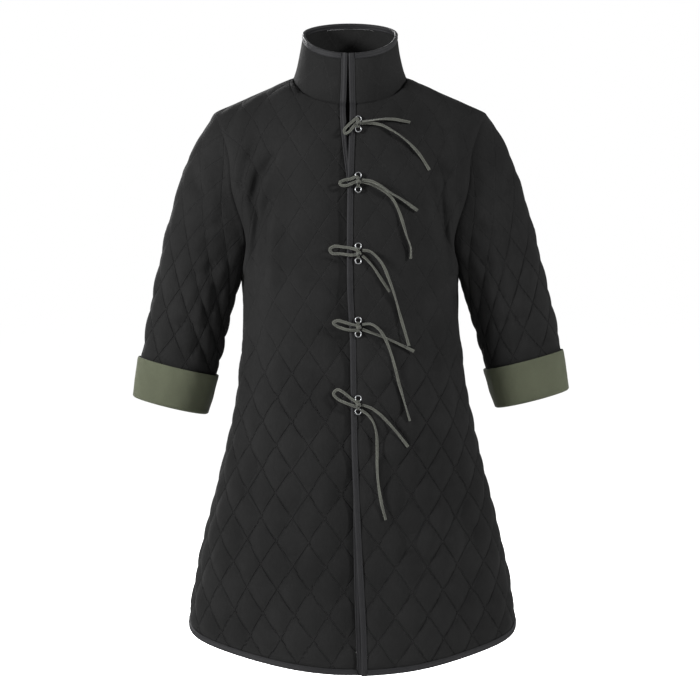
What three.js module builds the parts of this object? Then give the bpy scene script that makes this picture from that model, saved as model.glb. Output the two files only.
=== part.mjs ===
// Gambeson: a quilted coat, filled out on a general figure, in millimetres.
// +Z is up, the front faces -Y and +X is the wearer's left. Z = 0 is where the neck meets the
// shoulders, and the origin is the middle of the neck opening at that level.
import * as THREE from "three";

// ---------------------------------------------------------------- driving dimensions
const WALL = 4;                 // two layers of cotton with wadding between them
const CUFF_WALL = 2;            // plain cotton of the turned-back cuffs
const GAP = 0.3;                // space between neighbouring pieces
const BOUND_GAP = 0.55;         // space between a bound edge and its binding, which twist together
const BINDING_WIDTH = 10;       // how far the bound edges reach
const BINDING_THICK = 6;
const SIDE_Y = 5;               // the side, shoulder and sleeve seams lie in this plane
const ARMPIT_Z = -335;
const TIP_Z = -58;              // where the shoulder seam ends and the sleeve begins

// half width and depths of the body at each height
const BODY = [
  { z: -995, wide: 292, front: 196, back: 204 },
  { z: -800, wide: 258, front: 177, back: 184 },
  { z: -660, wide: 223, front: 157, back: 162 },
  { z: -530, wide: 195, front: 140, back: 134 },
  { z: -420, wide: 183, front: 134, back: 118 },
  { z: ARMPIT_Z, wide: 184.5, front: 142, back: 128 },
];
const ROUNDNESS = 0.9;          // 1 is an ellipse, less is squarer
const HEM = { middle: -972, rise: 67, bend: 1.3 };
const SWAY = 4;                 // how far the skirt hangs to the wearer's left of the neck
const NECK = { wide: 97, front: 93, back: 68, dip: 50, rise: 10 };
const SHOULDER = { tip: 229, slope: 0.441 };
const ARMHOLE_DEEP = 64;        // half the front-to-back width of the armhole
const ARMHOLE_SEAM = [{ z: ARMPIT_Z, x: 184.5 }, { z: -275, x: 175 }, { z: -192, x: 197 },
                      { z: -133, x: 203 }, { z: -92, x: 215 }, { z: TIP_Z, x: 229 }];
const COLLAR = { wide: 81, front: 84, back: 60, dip: 42, rise: 22, side: 66, flare: 0.6 };
const UNDERLAP = 6.5;           // how far the right front sinks where the left one laps over it

// where each front's bound edge runs, as X at each height
const LEFT_EDGE = [{ z: -982, x: 13.5 }, { z: -919, x: 12 }, { z: -855, x: 9 }, { z: -792, x: 5.5 },
                   { z: -700, x: 1 }, { z: -600, x: -2.5 }, { z: -260, x: -6 }, { z: -110, x: -5 },
                   { z: -50, x: -0.8 }];
const RIGHT_EDGE = [{ z: -982, x: 18 }, { z: -855, x: 13.5 }, { z: -700, x: 11.5 }, { z: -200, x: 11.5 },
                    { z: -120, x: 4 }, { z: -50, x: -6.8 }];

// the sleeves' two side lines as X and Z, outer and inner; the right one hangs a little longer
const SLEEVES = [
  { name: "left", side: 1,
    outer: [[229, -58], [261, -106], [290, -176], [313, -258], [334, -348], [354, -430], [371, -526]],
    inner: [[184.5, ARMPIT_Z], [194, -366], [207, -408], [223.5, -465], [238, -513], [251.5, -557]] },
  { name: "right", side: -1,
    outer: [[229, -58], [261, -106], [290, -176], [313, -258], [333, -348], [350, -430], [368, -538]],
    inner: [[184.5, ARMPIT_Z], [193.5, -366], [205, -408], [218.5, -465], [232, -518], [246, -568]] },
];
const SLEEVE_DEPTH = { top: 64, end: 58, lean: 16 };
const CUFF = { deep: 66, lift: 1.6, inside: 16, reach: 1.5 };

const EYELET = { hole: 2.8, out: 6, high: 1.6, x: 13.4, lift: 1.5 };
const LACE = { wide: 4.8, thick: 1.8, sides: 8 };
const STATIONS = [{ z: -85, apart: 17 }, { z: -181, apart: 23 }, { z: -297, apart: 24 },
                  { z: -417.5, apart: 23 }, { z: -545, apart: 21 }];

// ---------------------------------------------------------------- small tools
const HALF_PI = Math.PI / 2;
const mix = (a, b, t) => a + (b - a) * t;
const mixPoint = (p, q, t) => p.map((v, i) => mix(v, q[i], t));
const add = (p, q, k = 1) => p.map((v, i) => v + q[i] * k);
const sub = (p, q) => p.map((v, i) => v - q[i]);
const unit = (p) => p.map((v) => v / Math.hypot(...p));
const cross = (p, q) => [p[1] * q[2] - p[2] * q[1], p[2] * q[0] - p[0] * q[2], p[0] * q[1] - p[1] * q[0]];
const ease = (t) => { const c = Math.min(1, Math.max(0, t)); return c * c * (3 - 2 * c); };
const range = (n) => [...Array(n).keys()];
const power = (v, e) => Math.sign(v) * Math.abs(v) ** e;

// a smooth curve through stops sorted by one key, as a function
function through(stops, key, value) {
  const slope = range(stops.length).map((i) => {
    const a = stops[Math.max(0, i - 1)];
    const b = stops[Math.min(stops.length - 1, i + 1)];
    return (b[value] - a[value]) / (b[key] - a[key]);
  });
  return (k) => {
    let i = 0;
    while (i < stops.length - 2 && k > stops[i + 1][key]) i += 1;
    const a = stops[i];
    const b = stops[i + 1];
    const span = b[key] - a[key];
    const t = Math.min(1, Math.max(0, (k - a[key]) / span));
    const h = t * t * (3 - 2 * t);
    return mix(a[value], b[value], h) + span * t * (1 - t) * (slope[i] * (1 - t) - slope[i + 1] * t);
  };
}

const wideAt = through(BODY, "z", "wide");
const frontAt = through(BODY, "z", "front");
const backAt = through(BODY, "z", "back");
const leftEdge = through(LEFT_EDGE, "z", "x");
const rightEdge = through(RIGHT_EDGE, "z", "x");

// ---------------------------------------------------------------- closed meshes
function solid(name, points, faces, finish) {
  let volume = 0;
  for (let i = 0; i < faces.length; i += 3) {
    const [a, b, c] = [0, 1, 2].map((k) => points[faces[i + k]]);
    const n = cross(b, c);
    volume += a[0] * n[0] + a[1] * n[1] + a[2] * n[2];
  }
  const geometry = new THREE.BufferGeometry();
  geometry.setAttribute("position", new THREE.Float32BufferAttribute(points.flat(), 3));
  geometry.setIndex(volume > 0 ? faces : [...faces].reverse());
  geometry.computeVertexNormals();
  const mesh = new THREE.Mesh(geometry, finish);
  mesh.name = name;
  return mesh;
}

// a wall between two grids of points that match one for one; around joins its last column to its first
function wall(name, outer, inner, finish, around = false) {
  const rows = outer.length;
  const cols = outer[0].length;
  const at = (side, r, c) => side * rows * cols + r * cols + (c % cols);
  const faces = [];
  const quad = (a, b, c, d) => faces.push(a, b, c, a, c, d);
  const spans = around ? cols : cols - 1;
  for (const c of range(spans)) {
    for (const r of range(rows - 1)) {
      quad(at(0, r, c), at(0, r, c + 1), at(0, r + 1, c + 1), at(0, r + 1, c));
      quad(at(1, r, c), at(1, r + 1, c), at(1, r + 1, c + 1), at(1, r, c + 1));
    }
    quad(at(0, 0, c + 1), at(0, 0, c), at(1, 0, c), at(1, 0, c + 1));
    quad(at(0, rows - 1, c), at(0, rows - 1, c + 1), at(1, rows - 1, c + 1), at(1, rows - 1, c));
  }
  if (!around) {
    for (const r of range(rows - 1)) {
      quad(at(0, r, 0), at(0, r + 1, 0), at(1, r + 1, 0), at(1, r, 0));
      quad(at(0, r + 1, cols - 1), at(0, r, cols - 1), at(1, r, cols - 1), at(1, r + 1, cols - 1));
    }
  }
  return solid(name, [...outer.flat(), ...inner.flat()], faces, finish);
}

// a bar through matching sections; ringed joins its last section to its first
function bar(name, sections, finish, ringed = false) {
  const n = sections[0].length;
  const count = sections.length;
  const faces = [];
  for (const i of range(ringed ? count : count - 1)) {
    const j = (i + 1) % count;
    for (const k of range(n)) {
      const l = (k + 1) % n;
      faces.push(i * n + k, i * n + l, j * n + l, i * n + k, j * n + l, j * n + k);
    }
  }
  if (!ringed) {
    for (const k of range(n - 2)) {
      faces.push(0, k + 2, k + 1);
      faces.push((count - 1) * n, (count - 1) * n + k + 1, (count - 1) * n + k + 2);
    }
  }
  return solid(name, sections.flat(), faces, finish);
}

// ---------------------------------------------------------------- the body's surface
// Columns run from the hem to the neck or shoulder seam: s is 0 at the front or back middle and 1 at
// the side seam and armhole. Rows run across: t is 0 at the hem, CHEST_T at the armpit and 1 on top.
const CHEST_T = 0.65;
const NECK_S = 0.36;

const hemAt = (s) => HEM.middle + HEM.rise * Math.max(0, s) ** HEM.bend;

// soft hanging folds: how far the cloth stands out at an angle from the middle and a height
function drape(s, z) {
  const skirt = ease((-430 - z) / 450);
  const flutes = 5 * Math.sin(s * 9.5 + 0.6) * skirt * ease(s / 0.25);
  const sideFold = 7 * Math.exp(-(((s - 0.7) / 0.07) ** 2)) * ease((-150 - z) / 120) * ease((z + 760) / 300);
  return flutes - sideFold;
}

function neckPoint(angle, front) {
  const c = Math.cos(angle);
  return [NECK.wide * Math.sin(angle), SIDE_Y - (front ? NECK.front : -NECK.back) * c,
          front ? -NECK.dip * c : NECK.rise * c];
}

function collarPoint(angle, front, h) {
  const c = Math.cos(angle);
  const foot = neckPoint(angle, front);
  const rim = [COLLAR.wide * Math.sin(angle), SIDE_Y - 3 - (front ? COLLAR.front : -COLLAR.back) * c,
               COLLAR.side + (front ? -COLLAR.dip : COLLAR.rise) * c];
  const lean = h ** COLLAR.flare;
  return [mix(foot[0], rim[0], lean), mix(foot[1], rim[1], lean), mix(foot[2], rim[2], h)];
}

const seamX = through(ARMHOLE_SEAM, "z", "x");
function armholePoint(t, front) {
  const turn = Math.PI * (1 - t);
  const z = mix(ARMPIT_Z, TIP_Z, (1 + Math.cos(turn)) / 2);
  return [seamX(z), SIDE_Y + (front ? -1 : 1) * ARMHOLE_DEEP * Math.sin(turn), z];
}

// angle from the middle at which the cloth starts, for an edge that runs at X = edge
function startAngle(edge, reach) {
  return HALF_PI * Math.sign(edge) * (Math.abs(edge) / reach / 1.45) ** (1 / ROUNDNESS);
}

function bodyPoint(s, t, front, edge) {
  const depth = front ? frontAt : backAt;
  const side = front ? -1 : 1;
  const low = Math.min(1, t / CHEST_T);
  const z = mix(hemAt(s), ARMPIT_Z, low);
  const angle = mix(edge ? startAngle(edge(z), wideAt(z)) : 0, HALF_PI, s);
  const out = drape(s, z) * Math.cos(HALF_PI * s * s * s);
  const lower = [(wideAt(z) + out) * power(Math.sin(angle), ROUNDNESS),
                 SIDE_Y + side * (depth(z) + out) * power(Math.max(0, Math.cos(angle)), ROUNDNESS), z];
  if (t <= CHEST_T) return lower;
  const up = (t - CHEST_T) / (1 - CHEST_T);
  const high = Math.sin(HALF_PI * up);
  const neckward = s < NECK_S;
  const top = neckward
    ? neckPoint(mix(edge ? Math.asin(edge(-50) / NECK.wide) : 0, HALF_PI, s / NECK_S), front)
    : (() => {
        const x = mix(NECK.wide, SHOULDER.tip, (s - NECK_S) / (1 - NECK_S));
        return [x, SIDE_Y, -SHOULDER.slope * (x - NECK.wide)];
      })();
  const round = neckward ? mix(1.55, 2.3, ease(s / NECK_S)) : 2.3;
  const inward = (1 - high ** round) ** (1 / round);
  const height = mix(lower[2], top[2], high);
  const slide = edge && neckward ? mix(edge(height) - edge(ARMPIT_Z), 0, ease(up)) * (1 - s / NECK_S) : 0;
  const base = [mix(lower[0], top[0], ease(up)) + slide, mix(top[1], lower[1], inward), height];
  const blend = ease((s - 0.45) / 0.55);
  const sideLine = bodyBaseSide(up, high);
  return add(base, sub(armholePoint(up, front), sideLine), blend);
}

function bodyBaseSide(up, high) {
  return [mix(wideAt(ARMPIT_Z), SHOULDER.tip, ease(up)), SIDE_Y,
          mix(ARMPIT_Z, -SHOULDER.slope * (SHOULDER.tip - NECK.wide), high)];
}

const mirror = (p, side) => [p[0] * side, p[1], p[2]];

// the left front's edge runs in its own X, the right front's in mirrored X
const cloth = BINDING_WIDTH + GAP;
const PANELS = {
  front_left: { side: 1, front: true, edge: (z) => leftEdge(z) + cloth },
  front_right: { side: -1, front: true, edge: (z) => -rightEdge(z) + cloth },
  back_left: { side: 1, front: false, edge: null },
  back_right: { side: -1, front: false, edge: null },
};

const sway = (z) => SWAY * ease((-340 - z) / 120);

// a point of a panel, and the direction out of the cloth there
function panelPoint(panel, s, t) {
  const bare = mirror(bodyPoint(s, t, panel.front, panel.edge), panel.side);
  const p = add(bare, [sway(bare[2]), 0, 0]);
  if (panel.side > 0 || !panel.front) return p;
  const over = p[0] - leftEdge(p[2]);
  const sink = UNDERLAP * ease((over + 34) / 26) * ease((-75 - p[2]) / 60);
  return add(p, [0, 1, 0], sink);
}

function panelOut(panel, s, t) {
  const d = 0.01;
  const along = sub(panelPoint(panel, Math.min(1, s + d), t), panelPoint(panel, Math.max(0, s - d), t));
  const up = sub(panelPoint(panel, s, Math.min(1, t + d)), panelPoint(panel, s, Math.max(0, t - d)));
  const n = unit(cross(along, up));
  const toFront = panel.front ? -1 : 1;
  const guide = [panel.side * s, toFront * (1.001 - s), 0.3 * Math.max(0, t - CHEST_T)];
  return n[0] * guide[0] + n[1] * guide[1] + n[2] * guide[2] < 0 ? n.map((v) => -v) : n;
}

// ---------------------------------------------------------------- seams
// At a seam both pieces share one thickness direction (deep) and step back from it by half the gap.
const ARMHOLE_HEART = [SIDE_Y, (ARMPIT_Z + TIP_Z) / 2];
const armholeDeep = (p) => unit([0, 2 * (ARMHOLE_HEART[0] - p[1]), ARMHOLE_HEART[1] - p[2]]);
const neckDeep = (p) => unit([...unit([-p[0], SIDE_Y - p[1]]), -1]);
const neckStep = (p) => unit([...unit([-p[0], SIDE_Y - p[1]]), 1]);

const PANEL_COLS = range(13).map((i) => (i < 5 ? NECK_S * i / 4 : mix(NECK_S, 1, (i - 4) / 8)));
const LOW_ROWS = 12;
const TOP_ROWS = 8;
const PANEL_ROWS = [...range(LOW_ROWS + 1).map((i) => CHEST_T * i / LOW_ROWS),
                    ...range(TOP_ROWS).map((i) => mix(CHEST_T, 1, (i + 1) / TOP_ROWS))];

function panelGrids(panel) {
  const outward = panel.front ? -1 : 1;
  const outer = [];
  const inner = [];
  for (const t of PANEL_ROWS) {
    const outerRow = [];
    const innerRow = [];
    for (const s of PANEL_COLS) {
      let p = panelPoint(panel, s, t);
      let deep = panelOut(panel, s, t).map((v) => -v);
      const onSide = s === 1;
      const onTop = t === 1;
      const onNeck = onTop && s <= NECK_S;
      const onArmhole = onSide && t >= CHEST_T;
      if (onArmhole) {
        deep = armholeDeep(p);
        p = add(p, [-panel.side, 0, 0], GAP / 2);
      } else if (onNeck) {
        deep = neckDeep(p);
        p = add(p, neckStep(p), -GAP / 2);
      } else if (onTop) {
        deep = [0, 0, -1];
      } else if (onSide) {
        deep = [-panel.side, 0, 0];
      }
      if (onSide || (onTop && s >= NECK_S)) p = add(p, [0, outward, 0], GAP / 2);
      outerRow.push(p);
      innerRow.push(add(p, deep, WALL));
    }
    outer.push(outerRow);
    inner.push(innerRow);
  }
  return { outer, inner };
}

// ---------------------------------------------------------------- finishes
function finish(color, roughness, metalness = 0) {
  return new THREE.MeshStandardMaterial({ color, roughness, metalness });
}
const QUILT = "#2c2c2d";
const OLIVE = "#4d5343";
const LACE_COLOR = "#85867a";
const METAL = "#b4b5b8";

const coat = new THREE.Group();

// ---------------------------------------------------------------- fronts and back
const grids = Object.fromEntries(Object.entries(PANELS).map(([name, panel]) => [name, panelGrids(panel)]));
for (const name of ["front_left", "front_right"]) {
  coat.add(wall(name, grids[name].outer, grids[name].inner, finish(QUILT, 0.9)));
}
const joined = (left, right) => left.map((row, r) => [...[...right[r]].reverse(), ...row.slice(1)]);
const back = { outer: joined(grids.back_left.outer, grids.back_right.outer),
               inner: joined(grids.back_left.inner, grids.back_right.inner) };
coat.add(wall("back", back.outer, back.inner, finish(QUILT, 0.9)));

// ---------------------------------------------------------------- collar
const neckCols = PANEL_COLS.filter((s) => s <= NECK_S).map((s) => s / NECK_S);
const COLLAR_ROWS = [0, 0.3, 0.65, 1];
function collarColumn(panel, share) {
  const start = panel.edge ? Math.asin(panel.edge(-50) / NECK.wide) : 0;
  return { angle: mix(start, HALF_PI, share), front: panel.front, side: panel.side };
}
const collarCols = [
  ...neckCols.map((share) => collarColumn(PANELS.front_right, share)),
  ...[...neckCols].reverse().slice(1).map((share) => collarColumn(PANELS.back_right, share)),
  ...neckCols.slice(1).map((share) => collarColumn(PANELS.back_left, share)),
  ...[...neckCols].reverse().slice(1).map((share) => collarColumn(PANELS.front_left, share)),
];
const collarOuter = COLLAR_ROWS.map((h) => collarCols.map(({ angle, front, side }) => {
  const p = mirror(collarPoint(angle, front, h), side);
  return h === 0 ? add(p, neckStep(p), GAP / 2) : p;
}));
const collarInner = COLLAR_ROWS.map((h, r) => collarOuter[r].map((p, c) => {
  if (h === 0) return add(p, neckDeep(p), WALL);
  const next = collarOuter[r][Math.min(c + 1, collarCols.length - 1)];
  const last = collarOuter[r][Math.max(c - 1, 0)];
  const up = sub(collarOuter[Math.min(r + 1, COLLAR_ROWS.length - 1)][c], collarOuter[r - 1][c]);
  return add(p, unit(cross(up, sub(next, last))), -WALL);
}));
coat.add(wall("collar", collarOuter, collarInner, finish(QUILT, 0.9)));

// ---------------------------------------------------------------- bindings
// A bound edge: a rounded bar whose flat side butts the cloth's own edge.
function boundEdge(name, edge, ringed = false) {
  const half = BINDING_THICK / 2;
  const [near, far] = [BOUND_GAP, BINDING_WIDTH];
  const shape = [[near, -half + 0.8], [near + 1, -half], [far - 2, -half], [far, -half + 2],
                 [far, half - 2], [far - 2, half], [near + 1, half], [near, half - 0.8]];
  const sections = edge.map(({ outer, inner, away }) => {
    const middle = mixPoint(outer, inner, 0.5);
    const thick = unit(sub(outer, inner));
    return shape.map(([a, n]) => add(add(middle, away, a), thick, n));
  });
  coat.add(bar(name, sections, finish("#262627", 0.85), ringed));
}

// the direction across the edge, away from the cloth and square to its thickness
function awayFrom(outer, inner, next) {
  const rough = sub(outer, next);
  const thick = unit(sub(outer, inner));
  const along = rough[0] * thick[0] + rough[1] * thick[1] + rough[2] * thick[2];
  return unit(add(rough, thick, -along));
}

function hemEdge(grid) {
  return grid.outer[0].map((outer, c) => ({ outer, inner: grid.inner[0][c],
                                            away: awayFrom(outer, grid.inner[0][c], grid.outer[1][c]) }));
}
boundEdge("binding_hem_left", hemEdge(grids.front_left));
boundEdge("binding_hem_right", hemEdge(grids.front_right));
boundEdge("binding_hem_back", hemEdge(back));

const lastRow = COLLAR_ROWS.length - 1;
boundEdge("binding_collar", collarCols.map((_, c) => ({
  outer: collarOuter[lastRow][c], inner: collarInner[lastRow][c],
  away: awayFrom(collarOuter[lastRow][c], collarInner[lastRow][c], collarOuter[lastRow - 1][c]),
})));

// the front edges run on past the hem's and the collar's bound edges
function frontEdge(grid, collarCol, collarNext) {
  const body = grid.outer.map((row, r) => ({ outer: row[0], inner: grid.inner[r][0],
                                             away: awayFrom(row[0], grid.inner[r][0], row[1]) }));
  const stand = range(COLLAR_ROWS.length).slice(1).map((r) => ({
    outer: collarOuter[r][collarCol], inner: collarInner[r][collarCol],
    away: awayFrom(collarOuter[r][collarCol], collarInner[r][collarCol], collarOuter[r][collarNext]),
  }));
  const edge = [...body, ...stand];
  const past = (end, before) => {
    const step = unit(sub(end.outer, before.outer));
    return { outer: add(end.outer, step, BINDING_WIDTH), inner: add(end.inner, step, BINDING_WIDTH),
             away: end.away };
  };
  return [past(edge[0], edge[1]), ...edge, past(edge.at(-1), edge.at(-2))];
}
const lastCol = collarCols.length - 1;
boundEdge("binding_front_left", frontEdge(grids.front_left, lastCol, lastCol - 1));
boundEdge("binding_front_right", frontEdge(grids.front_right, 0, 1));

// ---------------------------------------------------------------- sleeves and cuffs
const SLEEVE_ROWS = 14;
const SLEEVE_COLS = 2 * TOP_ROWS;
const planeCurve = (points) => new THREE.SplineCurve(points.map((p) => new THREE.Vector2(...p)));

// a point of a sleeve: v runs down it from 0 to 1, and turn runs round it from the armpit by the front
function sleevePoint(lines, v, turn) {
  const a = lines.outer.getPointAt(v);
  const b = lines.inner.getPointAt(v);
  const c = Math.cos(turn);
  const s = Math.sin(turn);
  const depth = mix(SLEEVE_DEPTH.top, SLEEVE_DEPTH.end, v);
  const middleY = SIDE_Y + SLEEVE_DEPTH.lean * v * v;
  const ring = [(a.x + b.x) / 2 - (a.x - b.x) / 2 * c, middleY - depth * s,
                (a.y + b.y) / 2 - (a.y - b.y) / 2 * c];
  const share = turn <= Math.PI ? turn / Math.PI : 2 - turn / Math.PI;
  const hole = armholePoint(share, turn <= Math.PI);
  const first = lines.outer.getPointAt(0);
  const low = lines.inner.getPointAt(0);
  const flat = [(first.x + low.x) / 2 - (first.x - low.x) / 2 * c, SIDE_Y - SLEEVE_DEPTH.top * s,
                (first.y + low.y) / 2 - (first.y - low.y) / 2 * c];
  return add(ring, sub(hole, flat), (1 - ease(v / 0.4)));
}

function sleeveOut(lines, v, turn) {
  const d = 0.01;
  const round = sub(sleevePoint(lines, v, turn + d), sleevePoint(lines, v, turn - d));
  const below = sleevePoint(lines, Math.min(1, v + d), turn);
  return unit(cross(sub(below, sleevePoint(lines, Math.max(0, v - d), turn)), round));
}

const sleeveTurns = range(SLEEVE_COLS).map((i) => (i * 2 * Math.PI) / SLEEVE_COLS);
for (const { name, side, outer: outerStops, inner: innerStops } of SLEEVES) {
  const lines = { outer: planeCurve(outerStops), inner: planeCurve(innerStops) };
  const outer = [];
  const inner = [];
  for (const r of range(SLEEVE_ROWS + 1)) {
    const v = r / SLEEVE_ROWS;
    const points = sleeveTurns.map((turn) => sleevePoint(lines, v, turn));
    const into = (i) => sleeveOut(lines, v, sleeveTurns[i]).map((k) => -k);
    const deep = points.map((p, i) => (r === 0 ? armholeDeep(p) : into(i)));
    const ring = r === 0 ? points.map((p) => add(p, [1, 0, 0], GAP / 2)) : points;
    outer.push(ring.map((p) => mirror(p, side)));
    inner.push(ring.map((p, i) => mirror(add(p, deep[i], WALL), side)));
  }
  coat.add(wall(`sleeve_${name}`, outer, inner, finish(QUILT, 0.9), true));

  // the cuff turns back round the sleeve's end: outside, fold and a short stretch inside
  const sections = sleeveTurns.map((turn) => {
    const length = mix(lines.inner.getLength(), lines.outer.getLength(), (1 - Math.cos(turn)) / 2);
    const up = (mm) => 1 - mm / length;
    const [top, half] = [up(CUFF.deep), up(CUFF.deep / 2)];
    const outside = (v, lift) => add(sleevePoint(lines, v, turn), sleeveOut(lines, v, turn), lift);
    const out = sleeveOut(lines, 1, turn);
    const end = sleevePoint(lines, 1, turn);
    const down = unit(sub(end, sleevePoint(lines, 0.96, turn)));
    const below = (mm, lift) => add(add(end, down, mm), out, lift);
    const near = CUFF.lift;
    const far = near + CUFF_WALL;
    const inside = -(WALL + 0.8);
    const lining = inside - CUFF_WALL;
    return [
      outside(top, near), outside(half, near),
      below(CUFF.reach, near - 0.4), below(CUFF.reach, inside + 0.4),
      below(-CUFF.inside, inside), below(-CUFF.inside, lining), below(CUFF.reach, lining + 0.3),
      below(CUFF.reach + CUFF_WALL, inside), below(CUFF.reach + CUFF_WALL, near),
      below(CUFF.reach, far), outside(half, far + 1), outside(top, far + 1.5),
    ].map((p) => mirror(p, side));
  });
  coat.add(bar(`cuff_${name}`, sections, finish(OLIVE, 0.85), true));
}

// ---------------------------------------------------------------- what lies on the left front
// the panel's s and t under a point seen straight from the front
function onLeftFront(x, z) {
  let s = 0.2;
  let t = mix(0.1, 0.95, (z + 960) / 900);
  for (const _ of range(30)) {
    const p = panelPoint(PANELS.front_left, s, t);
    const ps = panelPoint(PANELS.front_left, s + 0.001, t);
    const pt = panelPoint(PANELS.front_left, s, t + 0.001);
    const [a, c] = [(ps[0] - p[0]) / 0.001, (ps[2] - p[2]) / 0.001];
    const [b, d] = [(pt[0] - p[0]) / 0.001, (pt[2] - p[2]) / 0.001];
    const det = a * d - b * c;
    s = Math.min(0.98, Math.max(-0.2, s + ((x - p[0]) * d - (z - p[2]) * b) / det));
    t = Math.min(0.98, Math.max(0.01, t + ((z - p[2]) * a - (x - p[0]) * c) / det));
  }
  return { s, t };
}

function lying(x, z, lift) {
  const { s, t } = onLeftFront(x, z);
  const at = Math.max(0.012, s);
  const p = panelPoint(PANELS.front_left, at, t);
  const out = panelOut(PANELS.front_left, at, t);
  const side = s < at ? [x - p[0], 0, z - p[2]] : [0, 0, 0];
  return { point: add(add(p, out, lift), side), out };
}

function eyelet(name, z) {
  const { point, out } = lying(EYELET.x, z, EYELET.lift);
  const { hole, out: rim, high } = EYELET;
  const shape = [[hole, 0], [rim, 0], [rim - 0.3, high * 0.6], [rim - 1.6, high], [hole + 0.6, high * 0.8],
                 [hole, 0]];
  const geometry = new THREE.LatheGeometry(shape.map((p) => new THREE.Vector2(...p)), 10);
  const mesh = new THREE.Mesh(geometry, finish(METAL, 0.35, 0.9));
  mesh.quaternion.setFromUnitVectors(new THREE.Vector3(0, 1, 0), new THREE.Vector3(...out));
  mesh.position.set(...point);
  mesh.name = name;
  coat.add(mesh);
}

// a flat lace through points [x, z, lift off the cloth]; a loop joins its end to its start
const LACE_STEP = 15;
const LACE_REACH = 0.5 / Math.cos(Math.PI / LACE.sides);      // half the width, out to the section's corners
function lace(name, route, ringed = false) {
  const path = route.map(([x, z, lift]) => lying(x, z, lift));
  const smooth = (key) => new THREE.CatmullRomCurve3(path.map((at) => new THREE.Vector3(...at[key])), ringed,
                                                     "centripetal");
  const curve = smooth("point");
  const outs = smooth("out");
  const steps = Math.max(8, Math.round(curve.getLength() / LACE_STEP));
  const count = ringed ? steps + 6 : steps + 1;
  const sections = range(count).map((i) => {
    const u = ringed ? i / count : i / steps;
    const along = curve.getTangentAt(u).toArray();
    const out = unit(outs.getPoint(curve.getUtoTmapping(u)).toArray());
    const across = unit(cross(along, out));
    const thick = unit(cross(across, along));
    const middle = curve.getPointAt(u).toArray();
    return range(LACE.sides).map((k) => {
      const turn = ((k + 0.5) * 2 * Math.PI) / LACE.sides;
      return add(add(middle, across, LACE_REACH * LACE.wide * Math.cos(turn)), thick,
                 LACE_REACH * LACE.thick * Math.sin(turn));
    });
  });
  coat.add(bar(name, sections, finish(LACE_COLOR, 0.9), ringed));
}

// free ends, each from its bow outwards
const LACE_ENDS = [
  { a: [[19, -83, 7], [34, -81, 7], [52, -78.5, 6], [72, -78, 4], [97, -82, 4]],
    b: [[19, -84.5, 4], [36, -84.5, 4], [52, -88, 4.5], [68, -96, 4.5], [82, -105, 4], [96, -117, 4],
        [112, -134, 4], [129, -160, 4]] },
  { a: [[19, -178, 7.5], [36, -181, 7.5], [50, -188, 7.5], [64, -198, 7], [85, -210, 4.5], [109, -227, 4]],
    b: [[19, -181, 4], [33, -184, 4], [46, -190, 4], [60, -199, 4], [70, -210, 4], [78, -226, 4],
        [84, -243, 4], [91, -267, 4], [98, -288, 4], [98, -306, 4]] },
  { a: [[20, -301, 4], [28, -308, 4], [38, -320, 4], [48, -335, 4], [64, -359, 4]],
    b: [[20, -292, 4], [32, -294, 6], [43, -303, 6], [53, -317, 7], [63, -341, 8], [72, -367, 6.5],
        [81, -398, 4], [89, -428, 6], [94, -449, 8.5]] },
  { a: [[20, -421, 4], [36, -427, 4], [54, -434, 4], [74, -443, 4], [104, -458, 4]],
    b: [[20, -413, 4], [32, -412, 5], [41, -416, 8], [51, -427, 8], [58, -440, 7], [66, -460, 4.5],
        [73, -484, 4], [78, -505, 4], [88, -541, 4], [97, -572, 4]] },
  { a: [[20, -545, 4], [34, -550, 4], [48, -560, 4], [60, -572, 4], [74, -588, 4], [94, -614, 4]],
    b: [[18, -553, 4], [30, -562, 4], [38, -574, 4], [43, -592, 4], [44, -616, 4], [44, -644, 4],
        [46, -673, 4], [51, -704, 4], [58, -731, 4]] },
];
// the one loop of each half bow, round from its knot
const LACE_BOWS = [
  [[13, -82, 5.5], [6, -90, 5], [-2, -99, 5], [-8, -102, 5], [-10, -97, 5], [-4, -89, 5], [4, -82, 5],
   [11, -77, 5.5]],
  [[13, -178, 5.5], [4, -183, 5], [-6, -187, 5], [-15, -186, 5], [-17, -182, 5], [-9, -178, 5], [2, -176, 5],
   [11, -172, 5.5]],
  [[13, -298, 5.5], [2, -300, 5], [-14, -298, 5], [-29, -297, 5], [-33, -291, 5], [-27, -286, 5],
   [-10, -287, 5], [2, -289, 5], [11, -292, 5.5]],
  [[13, -421, 5.5], [3, -422.5, 5], [-9, -420.5, 5], [-21, -416, 5], [-27.5, -410, 5], [-21, -406.5, 5],
   [-8, -409.5, 5], [3, -413, 5], [11, -415, 5.5]],
  [[13, -548, 5.5], [3, -545.5, 5], [-9, -541, 5], [-20, -535.5, 5], [-27, -527, 5], [-21, -520, 5],
   [-11, -524.5, 5], [1, -534, 5], [11, -541.5, 5.5]],
];

STATIONS.forEach(({ z, apart }, i) => {
  eyelet(`eyelet_${i + 1}_top`, z + apart / 2);
  eyelet(`eyelet_${i + 1}_low`, z - apart / 2);
  lace(`lace_bow_${i + 1}`, LACE_BOWS[i], true);
  lace(`lace_end_${i + 1}_a`, LACE_ENDS[i].a);
  lace(`lace_end_${i + 1}_b`, LACE_ENDS[i].b);
});

export default coat;
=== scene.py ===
"""Gambeson: the looks of a quilted coat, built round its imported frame.

Lengths are millimetres in the shapes and metres on the objects. The front faces -Y.
"""

import math
from functools import partial

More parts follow.
